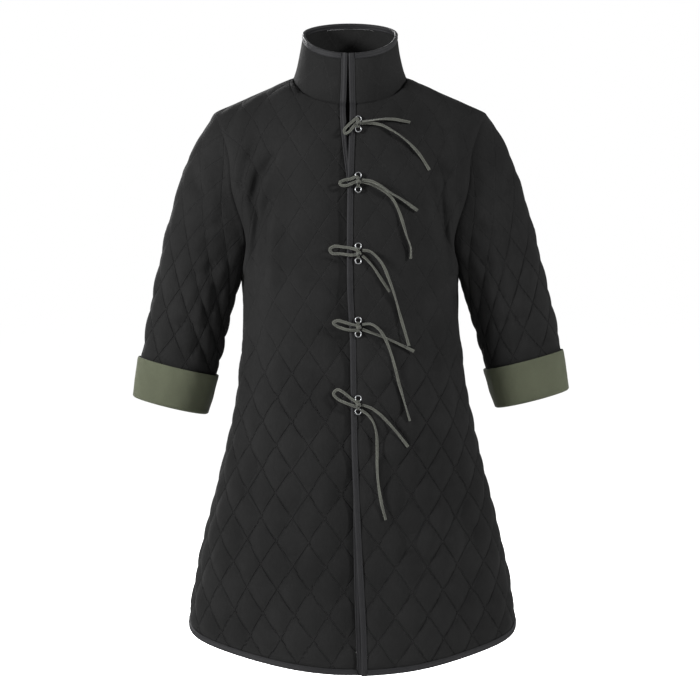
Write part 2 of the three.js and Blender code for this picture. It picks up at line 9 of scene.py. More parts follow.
import bpy
import numpy as np
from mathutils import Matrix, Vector


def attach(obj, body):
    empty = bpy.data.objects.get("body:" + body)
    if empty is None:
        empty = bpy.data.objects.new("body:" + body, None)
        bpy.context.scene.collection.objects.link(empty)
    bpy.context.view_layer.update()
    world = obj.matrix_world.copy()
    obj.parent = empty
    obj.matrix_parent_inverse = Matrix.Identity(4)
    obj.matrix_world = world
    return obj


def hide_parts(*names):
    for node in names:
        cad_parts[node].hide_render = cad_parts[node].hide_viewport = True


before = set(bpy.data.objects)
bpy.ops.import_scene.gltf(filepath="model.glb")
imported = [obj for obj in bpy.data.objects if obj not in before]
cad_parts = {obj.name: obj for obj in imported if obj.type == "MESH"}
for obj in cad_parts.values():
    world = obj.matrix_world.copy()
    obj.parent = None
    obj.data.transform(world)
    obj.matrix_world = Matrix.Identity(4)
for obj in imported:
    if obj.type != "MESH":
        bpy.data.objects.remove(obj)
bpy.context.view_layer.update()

bl_info = {
    "name": "Gambeson",
    "version": (1, 0, 0),
    "blender": (4, 5, 0),
    "location": "View3D > Sidebar > Gambeson",
    "description": "Builds a quilted coat with laced front, turned-back cuffs and bound edges",
    "category": "Object",
}

MM = 0.001
BODY = "root"
CLOTH_UV = "cloth"               # the cloth coordinates, in metres of cloth

# ---------------------------------------------------------------- sizes of the cut, in millimetres
WALL = 4.0
CUFF_WALL = 2.0
SIDE_Y = 5.0                     # the side, shoulder and sleeve seams lie in this plane
ARMPIT_Z = -335.0
TIP_Z = -58.0
BINDING_WIDTH = 10.0
BINDING_STEP = 0.55              # the gap between the cloth and its binding

# the trunk at each height: its columns are height, half width, depth to the front, depth to the back
WIDE, AHEAD, BEHIND = 1, 2, 3
TRUNK = np.array([(-995, 292, 196, 204), (-800, 258, 177, 184), (-660, 223, 157, 162), (-530, 195, 140, 134),
                  (-420, 183, 134, 118), (ARMPIT_Z, 184.5, 142, 128)], float)
ROUNDNESS = 0.9                  # 1 is an ellipse, and less is squarer
HEM_MIDDLE, HEM_RISE, HEM_BEND = -972.0, 67.0, 1.3    # height in the middle, rise to the sides and its power
SWAY = 4.0                       # how far the skirt hangs to the left
NECK_WIDE, NECK_FRONT, NECK_BACK, NECK_DIP, NECK_RISE = 97.0, 93.0, 68.0, 50.0, 10.0
TIP_X, SHOULDER_SLOPE = 229.0, 0.441
ARMHOLE_DEEP = 64.0
ARMHOLE_SEAM = np.array([(ARMPIT_Z, 184.5), (-275, 175), (-192, 197), (-133, 203), (-92, 215),
                         (TIP_Z, TIP_X)], float)
RIM_WIDE, RIM_FRONT, RIM_BACK, RIM_DIP, RIM_RISE, RIM_SIDE = 81.0, 84.0, 60.0, 42.0, 22.0, 66.0
COLLAR_FLARE = 0.6
UNDERLAP = 6.5                   # how far the right front lies under the left one
LEFT_EDGE = np.array([(-982, 13.5), (-919, 12), (-855, 9), (-792, 5.5), (-700, 1), (-600, -2.5), (-260, -6),
                      (-110, -5), (-50, -0.8)], float)
RIGHT_EDGE = np.array([(-982, 18), (-855, 13.5), (-700, 11.5), (-200, 11.5), (-120, 4), (-50, -6.8)], float)
# side lines of the sleeves as x and z, outer and inner; the right one hangs a little longer
SLEEVES = {
    "left": (1, ((229, -58), (261, -106), (290, -176), (313, -258), (334, -348), (354, -430), (371, -526)),
             ((184.5, ARMPIT_Z), (194, -366), (207, -408), (223.5, -465), (238, -513), (251.5, -557))),
    "right": (-1, ((229, -58), (261, -106), (290, -176), (313, -258), (333, -348), (350, -430), (368, -538)),
              ((184.5, ARMPIT_Z), (193.5, -366), (205, -408), (218.5, -465), (232, -518), (246, -568))),
}
SLEEVE_TOP_DEPTH, SLEEVE_END_DEPTH, SLEEVE_LEAN = 64.0, 58.0, 16.0
CUFF_DEEP, CUFF_LIFT, CUFF_INSIDE, CUFF_REACH = 66.0, 1.6, 16.0, 1.5
CHEST_T, NECK_S = 0.65, 0.36     # shares of a panel: up to the armpit, and across to the neck's corner
EYELET_X, EYELET_HOLE, EYELET_OUT = 13.4, 3.7, 5.8
STATIONS = ((-85, 17), (-181, 23), (-297, 24), (-417.5, 23), (-545, 21))    # middle height, distance apart

# each lace end and bow through points: x, z, lift off the cloth
LACE_ENDS = (
    (((19, -83, 7), (34, -81, 7), (52, -78.5, 6), (72, -78, 4), (97, -82, 4)),
     ((19, -84.5, 4), (36, -84.5, 4), (52, -88, 4.5), (68, -96, 4.5), (82, -105, 4), (96, -117, 4),
      (112, -134, 4), (129, -160, 4))),
    (((19, -178, 7.5), (36, -181, 7.5), (50, -188, 7.5), (64, -198, 7), (85, -210, 4.5), (109, -227, 4)),
     ((19, -181, 4), (33, -184, 4), (46, -190, 4), (60, -199, 4), (70, -210, 4), (78, -226, 4), (84, -243, 4),
      (91, -267, 4), (98, -288, 4), (98, -306, 4))),
    (((20, -301, 4), (28, -308, 4), (38, -320, 4), (48, -335, 4), (64, -359, 4)),
     ((20, -292, 4), (32, -294, 6), (43, -303, 6), (53, -317, 7), (63, -341, 8), (72, -367, 6.5),
      (81, -398, 4), (89, -428, 6), (94, -449, 8.5))),
    (((20, -421, 4), (36, -427, 4), (54, -434, 4), (74, -443, 4), (104, -458, 4)),
     ((20, -413, 4), (32, -412, 5), (41, -416, 8), (51, -427, 8), (58, -440, 7), (66, -460, 4.5),
      (73, -484, 4), (78, -505, 4), (88, -541, 4), (97, -572, 4))),
    (((20, -545, 4), (34, -550, 4), (48, -560, 4), (60, -572, 4), (74, -588, 4), (94, -614, 4)),
     ((18, -553, 4), (30, -562, 4), (38, -574, 4), (43, -592, 4), (44, -616, 4), (44, -644, 4), (46, -673, 4),
      (51, -704, 4), (58, -731, 4))),
)
LACE_LOOPS = (
    ((13, -82, 5.5), (6, -90, 5), (-2, -99, 5), (-8, -102, 5), (-10, -97, 5), (-4, -89, 5), (4, -82, 5),
     (11, -77, 5.5)),
    ((13, -178, 5.5), (4, -183, 5), (-6, -187, 5), (-15, -186, 5), (-17, -182, 5), (-9, -178, 5),
     (2, -176, 5), (11, -172, 5.5)),
    ((13, -298, 5.5), (2, -300, 5), (-14, -298, 5), (-29, -297, 5), (-33, -291, 5), (-27, -286, 5),
     (-10, -287, 5), (2, -289, 5), (11, -292, 5.5)),
    ((13, -421, 5.5), (3, -422.5, 5), (-9, -420.5, 5), (-21, -416, 5), (-27.5, -410, 5), (-21, -406.5, 5),
     (-8, -409.5, 5), (3, -413, 5), (11, -415, 5.5)),
    ((13, -548, 5.5), (3, -545.5, 5), (-9, -541, 5), (-20, -535.5, 5), (-27, -527, 5), (-21, -520, 5),
     (-11, -524.5, 5), (1, -534, 5), (11, -541.5, 5.5)),
)


# ---------------------------------------------------------------- small tools
def ease(t):
    t = np.clip(t, 0.0, 1.0)
    return t * t * (3 - 2 * t)


def mix(a, b, t):
    return a + (b - a) * t


def through(stops, key):
    """A smooth curve through (height, value) stops, at each key."""
    k, v = stops[:, 0], stops[:, 1]
    n = len(k)
    before, after = np.maximum(np.arange(n) - 1, 0), np.minimum(np.arange(n) + 1, n - 1)
    slope = (v[after] - v[before]) / (k[after] - k[before])
    key = np.asarray(key, float)
    i = np.clip(np.searchsorted(k, key, side="left") - 1, 0, n - 2)
    span = k[i + 1] - k[i]
    t = np.clip((key - k[i]) / span, 0, 1)
    h = t * t * (3 - 2 * t)
    return mix(v[i], v[i + 1], h) + span * t * (1 - t) * (slope[i] * (1 - t) - slope[i + 1] * t)


def trunk(column, z):
    return through(TRUNK[:, (0, column)], z)


def unit(v):
    return v / np.maximum(np.linalg.norm(v, axis=-1, keepdims=True), 1e-9)


def stack(*parts):
    return np.stack(np.broadcast_arrays(*parts), axis=-1)


def catmull(points, closed=False):
    """A centripetal Catmull-Rom curve through points, as (dense points, their distance along it)."""
    p = np.asarray(points, float)
    ends = (p[-1:], p[:2]) if closed else (2 * p[:1] - p[1:2], 2 * p[-1:] - p[-2:-1])
    q = np.concatenate([ends[0], p, ends[1]])
    out = []
    for i in range(len(q) - 3):
        a, b, c, d = q[i:i + 4]
        t0 = 0.0
        t1 = t0 + max(np.linalg.norm(b - a), 1e-6) ** 0.5
        t2 = t1 + max(np.linalg.norm(c - b), 1e-6) ** 0.5
        t3 = t2 + max(np.linalg.norm(d - c), 1e-6) ** 0.5
        t = np.linspace(t1, t2, 24, endpoint=False)[:, None]
        ab = (t1 - t) / (t1 - t0) * a + (t - t0) / (t1 - t0) * b
        bc = (t2 - t) / (t2 - t1) * b + (t - t1) / (t2 - t1) * c
        cd = (t3 - t) / (t3 - t2) * c + (t - t2) / (t3 - t2) * d
        abc = (t2 - t) / (t2 - t0) * ab + (t - t0) / (t2 - t0) * bc
        bcd = (t3 - t) / (t3 - t1) * bc + (t - t1) / (t3 - t1) * cd
        out.append((t2 - t) / (t2 - t1) * abc + (t - t1) / (t2 - t1) * bcd)
    out = np.concatenate([*out, p[:1] if closed else p[-1:]])
    run = np.concatenate([[0], np.cumsum(np.linalg.norm(np.diff(out, axis=0), axis=1))])
    return out, run


def at_distance(dense, run, where):
    return np.stack([np.interp(where, run, dense[:, i]) for i in range(dense.shape[1])], axis=-1)


def side_line(points):
    """A sleeve's side line through its stops, as (dense points, their distance along it)."""
    p = np.asarray(points, float)
    q = np.concatenate([p[:1], p, p[-1:]])
    out = []
    for i in range(len(p) - 1):
        a, b, c, d = q[i:i + 4]
        t = np.linspace(0, 1, 40, endpoint=False)[:, None]
        m0, m1 = (c - a) * 0.5, (d - b) * 0.5
        out.append((2 * t**3 - 3 * t**2 + 1) * b + (t**3 - 2 * t**2 + t) * m0 + (3 * t**2 - 2 * t**3) * c
                   + (t**3 - t**2) * m1)
    out = np.concatenate([*out, p[-1:]])
    run = np.concatenate([[0], np.cumsum(np.linalg.norm(np.diff(out, axis=0), axis=1))])
    return out, run


# ---------------------------------------------------------------- the coat's form
def hem_z(s):
    return HEM_MIDDLE + HEM_RISE * np.maximum(s, 0) ** HEM_BEND


def drape(s, z):
    skirt = ease((-430 - z) / 450)
    flutes = 5 * np.sin(s * 9.5 + 0.6) * skirt * ease(s / 0.25)
    side_fold = 7 * np.exp(-(((s - 0.7) / 0.07) ** 2)) * ease((-150 - z) / 120) * ease((z + 760) / 300)
    return flutes - side_fold


def neck_point(angle, front):
    c = np.cos(angle)
    y = SIDE_Y - (NECK_FRONT if front else -NECK_BACK) * c
    return stack(NECK_WIDE * np.sin(angle), y, (-NECK_DIP if front else NECK_RISE) * c)


def collar_point(angle, front, h):
    c = np.cos(angle)
    foot = neck_point(angle, front)
    rim = stack(RIM_WIDE * np.sin(angle), SIDE_Y - 3 - (RIM_FRONT if front else -RIM_BACK) * c,
                RIM_SIDE + (-RIM_DIP if front else RIM_RISE) * c)
    lean = h ** COLLAR_FLARE
    return stack(mix(foot[..., 0], rim[..., 0], lean), mix(foot[..., 1], rim[..., 1], lean),
                 mix(foot[..., 2], rim[..., 2], h))


def armhole_point(t, front):
    turn = np.pi * (1 - t)
    z = mix(ARMPIT_Z, TIP_Z, (1 + np.cos(turn)) / 2)
    return stack(through(ARMHOLE_SEAM, z), SIDE_Y + (-1 if front else 1) * ARMHOLE_DEEP * np.sin(turn), z)


def start_angle(edge, reach):
    return np.pi / 2 * np.sign(edge) * (np.abs(edge) / reach / 1.45) ** (1 / ROUNDNESS)


def body_point(s, t, front, edge):
    """Columns run up from the hem to the neck or shoulder (s), rows run across from the middle (t)."""
    s, t = np.broadcast_arrays(np.asarray(s, float), np.asarray(t, float))
    z = mix(hem_z(s), ARMPIT_Z, np.minimum(1, t / CHEST_T))
    half = np.pi / 2
    start = start_angle(edge(z), trunk(WIDE, z)) if edge else 0.0
    angle = mix(start, half, s)
    out = drape(s, z) * np.cos(half * s**3)
    across = np.sign(np.sin(angle)) * np.abs(np.sin(angle)) ** ROUNDNESS
    deep = np.maximum(0, np.cos(angle)) ** ROUNDNESS
    low = stack((trunk(WIDE, z) + out) * across,
                SIDE_Y + (-1 if front else 1) * (trunk(AHEAD if front else BEHIND, z) + out) * deep, z)
    up = np.clip((t - CHEST_T) / (1 - CHEST_T), 0, 1)
    high = np.sin(half * up)
    neckward = s < NECK_S
    first = math.asin(float(edge(-NECK_DIP)) / NECK_WIDE) if edge else 0.0
    neck = neck_point(mix(first, half, np.minimum(s, NECK_S) / NECK_S), front)
    ridge_x = mix(NECK_WIDE, TIP_X, (s - NECK_S) / (1 - NECK_S))
    ridge = stack(ridge_x, SIDE_Y, -SHOULDER_SLOPE * (ridge_x - NECK_WIDE))
    top = np.where(neckward[..., None], neck, ridge)
    roundness = np.where(neckward, mix(1.55, 2.3, ease(s / NECK_S)), 2.3)
    inward = np.maximum(0, 1 - high**roundness) ** (1 / roundness)
    height = mix(low[..., 2], top[..., 2], high)
    slide = 0.0
    if edge:
        slide = np.where(neckward, (edge(height) - edge(ARMPIT_Z)) * (1 - ease(up)) * (1 - s / NECK_S), 0)
    base_x = mix(low[..., 0], top[..., 0], ease(up)) + slide
    base = stack(base_x, mix(top[..., 1], low[..., 1], inward), height)
    blend = ease((s - 0.45) / 0.55)
    side = stack(mix(float(trunk(WIDE, ARMPIT_Z)), TIP_X, ease(up)), SIDE_Y,
                 mix(ARMPIT_Z, -SHOULDER_SLOPE * (TIP_X - NECK_WIDE), high))
    upper = base + (armhole_point(up, front) - side) * blend[..., None]
    return np.where((t <= CHEST_T)[..., None], low, upper)


def left_edge(z):
    return through(LEFT_EDGE, z)


def right_edge(z):
    return through(RIGHT_EDGE, z)


class Panel:
    """A front or half of the back: which side it is on and where its middle edge runs."""

    def __init__(self, side, front, edge=None):
        self.side, self.front, self.edge = side, front, edge

    def point(self, s, t):
        p = body_point(s, t, self.front, self.edge)
        p = p * np.array([self.side, 1, 1])
        p = p + stack(SWAY * ease((-340 - p[..., 2]) / 120), 0, 0)
        if self.side > 0 or not self.front:
            return p
        over = p[..., 0] - left_edge(p[..., 2])
        return p + stack(0, UNDERLAP * ease((over + 34) / 26) * ease((-75 - p[..., 2]) / 60), 0)


REACH = BINDING_WIDTH + 0.3
PANELS = {
    "front_left": Panel(1, True, lambda z: left_edge(z) + REACH),
    "front_right": Panel(-1, True, lambda z: -right_edge(z) + REACH),
    "back_left": Panel(1, False),
    "back_right": Panel(-1, False),
}


# ---------------------------------------------------------------- sleeves, from their two side lines
def sleeve_point(lines, v, turn):
    """v runs down the sleeve from 0 to 1, and turn runs round it from the armpit by the front."""
    v, turn = np.broadcast_arrays(np.asarray(v, float), np.asarray(turn, float))
    a = at_distance(*lines[0], v * lines[0][1][-1])
    b = at_distance(*lines[1], v * lines[1][1][-1])
    c, s = np.cos(turn), np.sin(turn)
    depth = mix(SLEEVE_TOP_DEPTH, SLEEVE_END_DEPTH, v)
    half = (a - b) / 2
    middle = (a + b) / 2
    ring = stack(middle[..., 0] - half[..., 0] * c, SIDE_Y + SLEEVE_LEAN * v * v - depth * s,
                 middle[..., 1] - half[..., 1] * c)
    by_front = turn <= np.pi
    share = np.where(by_front, turn / np.pi, 2 - turn / np.pi)
    hole = np.where(by_front[..., None], armhole_point(share, True), armhole_point(share, False))
    top, low = lines[0][0][0], lines[1][0][0]
    flat = stack((top[0] + low[0]) / 2 - (top[0] - low[0]) / 2 * c, SIDE_Y - SLEEVE_TOP_DEPTH * s,
                 (top[1] + low[1]) / 2 - (top[1] - low[1]) / 2 * c)
    return ring + (hole - flat) * (1 - ease(v / 0.4))[..., None]


# ---------------------------------------------------------------- directions at the seams
def armhole_deep(p):
    """Towards the middle of the armhole, from points of its seam."""
    return unit(stack(0.0, 2 * (SIDE_Y - p[..., 1]), (ARMPIT_Z + TIP_Z) / 2 - p[..., 2]))


def neck_deep(p):
    """Inwards and down, from points of the neck seam."""
    flat = unit(stack(-p[..., 0], SIDE_Y - p[..., 1]))
    return unit(stack(flat[..., 0], flat[..., 1], -1.0))


def grid_normals(p, ringed=False):
    if ringed:
        along = np.roll(p, -1, axis=1) - np.roll(p, 1, axis=1)
    else:
        along = np.gradient(p, axis=1)
    return unit(np.cross(along, np.gradient(p, axis=0)))


def lengths(p, axis):
    """Running length of the grid's lines along an axis, from zero."""
    step = np.linalg.norm(np.diff(p, axis=axis), axis=-1)
    first = np.zeros_like(np.take(step, [0], axis=axis))
    return np.concatenate([first, np.cumsum(step, axis=axis)], axis=axis)


# ---------------------------------------------------------------- relief of the cloth, in millimetres
def quilted(u, v, sizes):
    """Height of the wadding between the diamonds' stitched lines; it is worn flatter round the chest."""
    a, b = u / sizes.diamond_wide + v / sizes.diamond_high, u / sizes.diamond_wide - v / sizes.diamond_high
    pillow = np.abs(np.sin(np.pi * a) * np.sin(np.pi * b))
    worn = mix(1.0, 0.38, ease((v + CHEST_FADE[0]) / (CHEST_FADE[0] - CHEST_FADE[1])))
    worn = worn * mix(1.0, 0.15, ease((v - COLLAR_FADE[0]) / (COLLAR_FADE[1] - COLLAR_FADE[0])))
    return sizes.puff * worn * (pillow ** 0.55 - 0.6)


def crumple(u, v, size, seed, stretch=1.0, lean=0.0):
    """Soft lumps of a size, from a seeded lattice, drawn out along a leaning direction."""
    lattice = np.random.RandomState(seed).uniform(-1, 1, (64, 64))
    c, s = math.cos(lean), math.sin(lean)
    x, y = (u * c + v * s) / size + 31.5, (v * c - u * s) / (size * stretch) + 31.5
    i, j = np.floor(x).astype(int), np.floor(y).astype(int)
    fx, fy = ease(x - i), ease(y - j)
    i, j, k, l = i % 64, j % 64, (i + 1) % 64, (j + 1) % 64
    return mix(mix(lattice[i, j], lattice[k, j], fx), mix(lattice[i, l], lattice[k, l], fx), fy)


def crease(p, route, depth, width):
    """A soft trough (depth below zero) or ridge along a route of x and z, with a low swell beside it."""
    line, run = catmull(route)
    flat = p[..., (0, 2)].reshape(-1, 2)
    low, high = line.min(axis=0) - 4 * width, line.max(axis=0) + 4 * width
    near = np.where(((flat > low) & (flat < high)).all(axis=1))[0]
    out = np.zeros(len(flat))
    gap = np.linalg.norm(flat[near, None, :] - line[None, ::4, :], axis=-1)
    best = gap.argmin(axis=1)
    distance, share = gap[np.arange(len(near)), best], run[::4][best] / run[-1]
    taper = ease(share / 0.25) * ease((1 - share) / 0.3)
    away = distance / width
    out[near] = depth * taper * (np.exp(-(away**2)) - 0.35 * np.exp(-((away - 2.1) ** 2)))
    return out.reshape(p.shape[:-1])


# creases by piece: route of x and z, depth, width
CREASES = {
    "front_right": (
        (((-156, -109), (-175, -146), (-182, -180), (-184, -214)), -3.6, 7),
        (((-116, -117), (-133, -146), (-150, -172), (-162, -206), (-170, -231)), -4.4, 8),
        (((-117, -180), (-136, -219), (-143, -265), (-146, -308), (-151, -350), (-158, -393)), -5.0, 10),
        (((-124, -215), (-129, -265), (-133, -320), (-140, -380)), 3.2, 12),
        (((-160, -395), (-170, -450), (-175, -520), (-182, -590)), 3.4, 13),
        (((-60, -560), (-75, -660), (-92, -760), (-105, -860)), -2.6, 18),
        (((-150, -620), (-168, -720), (-190, -830), (-205, -900)), -3.4, 17),
    ),
    "front_left": (
        (((170, -175), (180, -208), (190, -246)), -3.6, 7),
        (((128, -160), (140, -200), (151, -262), (158, -310)), -3.8, 9),
        (((150, -330), (160, -400), (166, -480)), 3.0, 13),
        (((130, -400), (142, -470), (150, -560)), -2.6, 12),
        (((70, -600), (90, -700), (110, -820), (122, -900)), -2.6, 18),
        (((170, -640), (190, -740), (212, -860)), -3.2, 17),
    ),
    "back": (
        (((150, -110), (168, -160), (176, -220)), -3.8, 8),
        (((-148, -112), (-166, -158), (-177, -214)), -4.0, 8),
        (((112, -130), (134, -190), (146, -260), (150, -330)), -3.6, 10),
        (((-118, -140), (-136, -200), (-144, -270), (-152, -350)), -3.8, 10),
        (((30, -60), (10, -72), (-12, -72), (-32, -58)), -2.4, 9),
        (((40, -520), (52, -640), (60, -760), (72, -880)), -3.2, 20),
        (((-30, -560), (-44, -660), (-58, -780), (-66, -880)), -3.0, 20),
        (((150, -560), (176, -680), (204, -820)), -3.4, 18),
        (((-150, -540), (-180, -690), (-210, -840)), -3.4, 18),
    ),
    "sleeve_left": (
        (((205, -240), (232, -262), (262, -272)), -3.2, 8),
        (((214, -300), (240, -318), (272, -322)), -3.0, 9),
        (((300, -240), (306, -300), (318, -360)), 2.4, 14),
        (((232, -400), (262, -412), (296, -402)), -2.6, 9),
        (((276, -150), (262, -190), (240, -222)), -2.8, 9),
    ),
    "sleeve_right": (
        (((-205, -236), (-236, -254), (-268, -258)), -3.2, 8),
        (((-216, -310), (-246, -330), (-276, -336)), -3.0, 9),
        (((-298, -230), (-308, -300), (-322, -370)), 2.4, 14),
        (((-236, -412), (-266, -420), (-300, -404)), -2.6, 9),
        (((-270, -130), (-258, -180), (-236, -216)), -2.8, 9),
    ),
}
CHEST_FADE = (240.0, 40.0)       # the quilting fades upwards between these depths below the armpit
COLLAR_FADE = (450.0, 500.0)     # above this the collar is all but plain
# where each piece's diamonds start, from its middle and from the armpit; sleeves count from their ends
QUILT_START = {"front_right": (4.5, 2), "front_left": (-17, 5), "back": (0, 12), "sleeve_left": (14, -395),
               "sleeve_right": (10, -395), "collar": (12, 606)}
SEEDS = {"front_right": 3, "front_left": 11, "back": 19, "sleeve_left": 27, "sleeve_right": 35, "collar": 43}


def relief(name, p, u, v, sizes):
    """Every height that a piece of quilted cloth has above its plain form."""
    seed = SEEDS[name]
    high = quilted(u, v, sizes)
    high = high + 0.9 * crumple(u, v, 46, seed, 1.8, 0.5) + 0.7 * crumple(u, v, 21, seed + 1, 2.4, -0.6)
    high = high + 1.5 * crumple(u, v, 110, seed + 2, 1.6, 0.2)
    for route, depth, width in CREASES.get(name, ()):
        high = high + crease(p, route, depth, width)
    return high


# ---------------------------------------------------------------- meshes
def make_piece(name, points, faces, corners, texels, material, slot, nodes=None):
    """One object from points in millimetres; corners index the cloth coordinates of each face corner."""
    first, second, third = (points[faces[:, i]] for i in (0, 1, 2))
    fourth = points[faces[:, 3]]
    volume = (np.einsum("ij,ij->i", first, np.cross(second, third)).sum()
              + np.einsum("ij,ij->i", first, np.cross(third, fourth)).sum())
    if volume < 0:
        faces, corners = faces[:, ::-1], corners[:, ::-1]
    mesh = bpy.data.meshes.new(name)
    keep = [face if face[3] != face[0] else face[:3] for face in faces.tolist()]
    mesh.from_pydata((points * MM).tolist(), [], keep)
    count = np.array([len(face) for face in keep])
    loops = corners.reshape(-1)[(np.arange(4)[None, :] < count[:, None]).reshape(-1)]
    mesh.uv_layers.new(name=CLOTH_UV).data.foreach_set("uv", (texels[loops] * MM).astype(np.float32).ravel())
    mesh.shade_smooth()
    mesh.set_sharp_from_angle(angle=math.radians(58))
    mesh.materials.append(material)
    piece = bpy.data.objects.new(name, mesh)
    bpy.context.scene.collection.objects.link(piece)
    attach(piece, BODY)
    if nodes:
        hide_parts(*nodes)
    return piece


def quads(ids):
    return np.stack([ids[:-1, :-1], ids[:-1, 1:], ids[1:, 1:], ids[1:, :-1]], axis=-1).reshape(-1, 4)


def strip(a, b):
    return np.stack([a[:-1], a[1:], b[1:], b[:-1]], axis=-1)


def shell(name, outer, inner, uv, material, slot, nodes, ringed=False):
    """A closed wall of cloth between two grids of points."""
    rows, cols = outer.shape[:2]
    count = rows * cols
    ids = np.arange(count).reshape(rows, cols)
    if ringed:
        ids = np.concatenate([ids, ids[:, :1]], axis=1)
    texel = np.arange(ids.size).reshape(ids.shape)
    faces = [quads(ids), quads(ids + count)[:, ::-1]]
    faces += [strip(ids[0] + count, ids[0]), strip(ids[-1], ids[-1] + count)]
    corners = [quads(texel), quads(texel)[:, ::-1], strip(texel[0], texel[0]), strip(texel[-1], texel[-1])]
    if not ringed:
        faces += [strip(ids[:, 0], ids[:, 0] + count), strip(ids[:, -1] + count, ids[:, -1])]
        corners += [strip(texel[:, 0], texel[:, 0]), strip(texel[:, -1], texel[:, -1])]
    points = np.concatenate([outer.reshape(-1, 3), inner.reshape(-1, 3)])
    faces, corners = np.concatenate(faces), np.concatenate(corners)
    return make_piece(name, points, faces, corners, uv.reshape(-1, 2), material, slot, nodes)


def tube_parts(sections, closed=False):
    """Points, faces, corners and cloth coordinates of a bar through sections, capped if it isn't closed."""
    count, sides = sections.shape[:2]
    ids = np.arange(count * sides).reshape(count, sides)
    texel = np.arange((count + 1) * (sides + 1)).reshape(count + 1, sides + 1)
    ids = np.concatenate([ids, ids[:, :1]], axis=1)
    if closed:
        ids = np.concatenate([ids, ids[:1]])
    else:
        texel = texel[:-1]
    run = lengths(np.concatenate([sections.mean(axis=1), sections.mean(axis=1)[:1]]), 0)
    round_it = lengths(np.concatenate([sections[0], sections[0][:1]]), 0)
    uv = stack(*np.meshgrid(run, round_it, indexing="ij"))
    faces, corners = [quads(ids)], [quads(texel)]
    points = [sections.reshape(-1, 3)]
    if not closed:
        for end, row in ((0, ids[0, ::-1]), (1, ids[-1])):
            hub = count * sides + end
            points.append(sections[0 if end == 0 else -1].mean(axis=0)[None])
            fan = np.stack([np.full(sides, hub), row[:-1], row[1:], np.full(sides, hub)], axis=-1)
            faces.append(fan)
            corners.append(np.full_like(fan, texel[0 if end == 0 else -1, 0]))
    return np.concatenate(points), np.concatenate(faces), np.concatenate(corners), uv.reshape(-1, 2)


def join_parts(parts):
    """Several bars as one set of points and faces."""
    points, faces, corners, uv = [], [], [], []
    n = k = 0
    for p, f, c, t in parts:
        points.append(p)
        faces.append(f + n)
        corners.append(c + k)
        uv.append(t)
        n, k = n + len(p), k + len(t)
    return np.concatenate(points), np.concatenate(faces), np.concatenate(corners), np.concatenate(uv)


def rounded(half_wide, half_thick, square, sides):
    """A rounded oblong section as (across, thick) pairs."""
    turn = np.linspace(0, 2 * np.pi, sides, endpoint=False)
    c, s = np.cos(turn), np.sin(turn)
    return stack(half_wide * np.sign(c) * np.abs(c) ** square, half_thick * np.sign(s) * np.abs(s) ** square)


# ---------------------------------------------------------------- cloth grids
def spread(a, b, count):
    return np.linspace(a, b, count, endpoint=False)


NECK_COL, CHEST_ROW = 30, 158
PANEL_COLS = np.concatenate([spread(0, NECK_S, NECK_COL), np.linspace(NECK_S, 1, 51)])
PANEL_ROWS = np.concatenate([spread(0, CHEST_T, CHEST_ROW), np.linspace(CHEST_T, 1, 84)])
COLLAR_COLS, COLLAR_ROWS = 48, 30                # columns to a quarter of the collar
SLEEVE_SIDES, SLEEVE_ROWS = 104, 122
SEAM_SOFT = 5                    # grid lines over which the thickness turns into the seam's direction
DITCH_WIDE = 3.2
SOFT_REACH, SOFT_TURNS = 14, 60  # grid lines that are rounded off by the shoulder, and how many times


def soften_shoulder(p):
    """Rounds off the fold that runs down from the corner where the neckline meets the shoulder seam."""
    reach = np.exp(-(((np.arange(p.shape[1]) - NECK_COL) / SOFT_REACH) ** 2))
    below = ease((len(p) - 1 - np.arange(len(p))) / SOFT_REACH)
    share = (reach[None, :] * below[:, None])[..., None]
    for _ in range(SOFT_TURNS):
        p = p.copy()
        p[:, 1:-1] += share[:, 1:-1] * ((p[:, :-2] + p[:, 2:]) / 2 - p[:, 1:-1])
    return p


def turn_into(seam, deep):
    """Turns the first lines of a grid's inward directions into the seam's own."""
    for k in range(SEAM_SOFT):
        deep[k] = unit(mix(seam, deep[k], k / SEAM_SOFT))


def panel_form(panel):
    """The plain grid of a panel and the direction into the cloth at each point."""
    s, t = np.meshgrid(PANEL_COLS, PANEL_ROWS)
    p = soften_shoulder(panel.point(s, t))
    deep = -grid_normals(p) * panel.side * (1 if panel.front else -1)
    side = np.tile([-panel.side, 0.0, 0.0], (len(p), 1))
    side[CHEST_ROW:] = armhole_deep(p[CHEST_ROW:, -1])
    top = np.tile([0.0, 0.0, -1.0], (p.shape[1], 1))
    top[:NECK_COL + 1] = neck_deep(p[-1, :NECK_COL + 1])
    turn_into(side, deep.swapaxes(0, 1)[::-1])
    turn_into(top, deep[::-1])
    return p, deep


def seam_ditch(distance, sizes):
    return sizes.seam_ditch * np.exp(-((distance / DITCH_WIDE) ** 2))


def raise_cloth(name, p, deep, u, v, mask, ditch, sizes):
    """Outer and inner grids of a quilted wall: its relief where the mask is 1, and ditches at its seams."""
    high = relief(name, p, u, v, sizes)
    outer = p - deep * (high * mask - ditch)[..., None]
    inner = p + deep * (WALL + 0.5 * quilted(u, v, sizes) * mask)[..., None]
    return outer, inner


def panel_cloth(name, panel, sizes):
    """Plain, outer and inner grids of a front or half of the back, with their cloth coordinates."""
    p, deep = panel_form(panel)
    across, up = lengths(p, 1), lengths(p, 0)
    start = np.abs(p[:, :1, 0]) if panel.front else 0.0
    u = (across + start + QUILT_START[name][0]) * panel.side
    v = up - up[CHEST_ROW] + QUILT_START[name][1]
    ends = across[:, -1:] - across, up[-1:] - up
    bound = up if not panel.front else np.minimum(up, across)
    mask = ease(np.minimum(*ends) / 16) * (0.25 + 0.75 * ease(bound / 12))
    ditch = seam_ditch(ends[0], sizes) + seam_ditch(ends[1], sizes) + 1.5 * seam_ditch(bound, sizes)
    outer, inner = raise_cloth(name, p, deep, u, v, mask, ditch, sizes)
    return p, deep, outer, inner, stack(u, v)


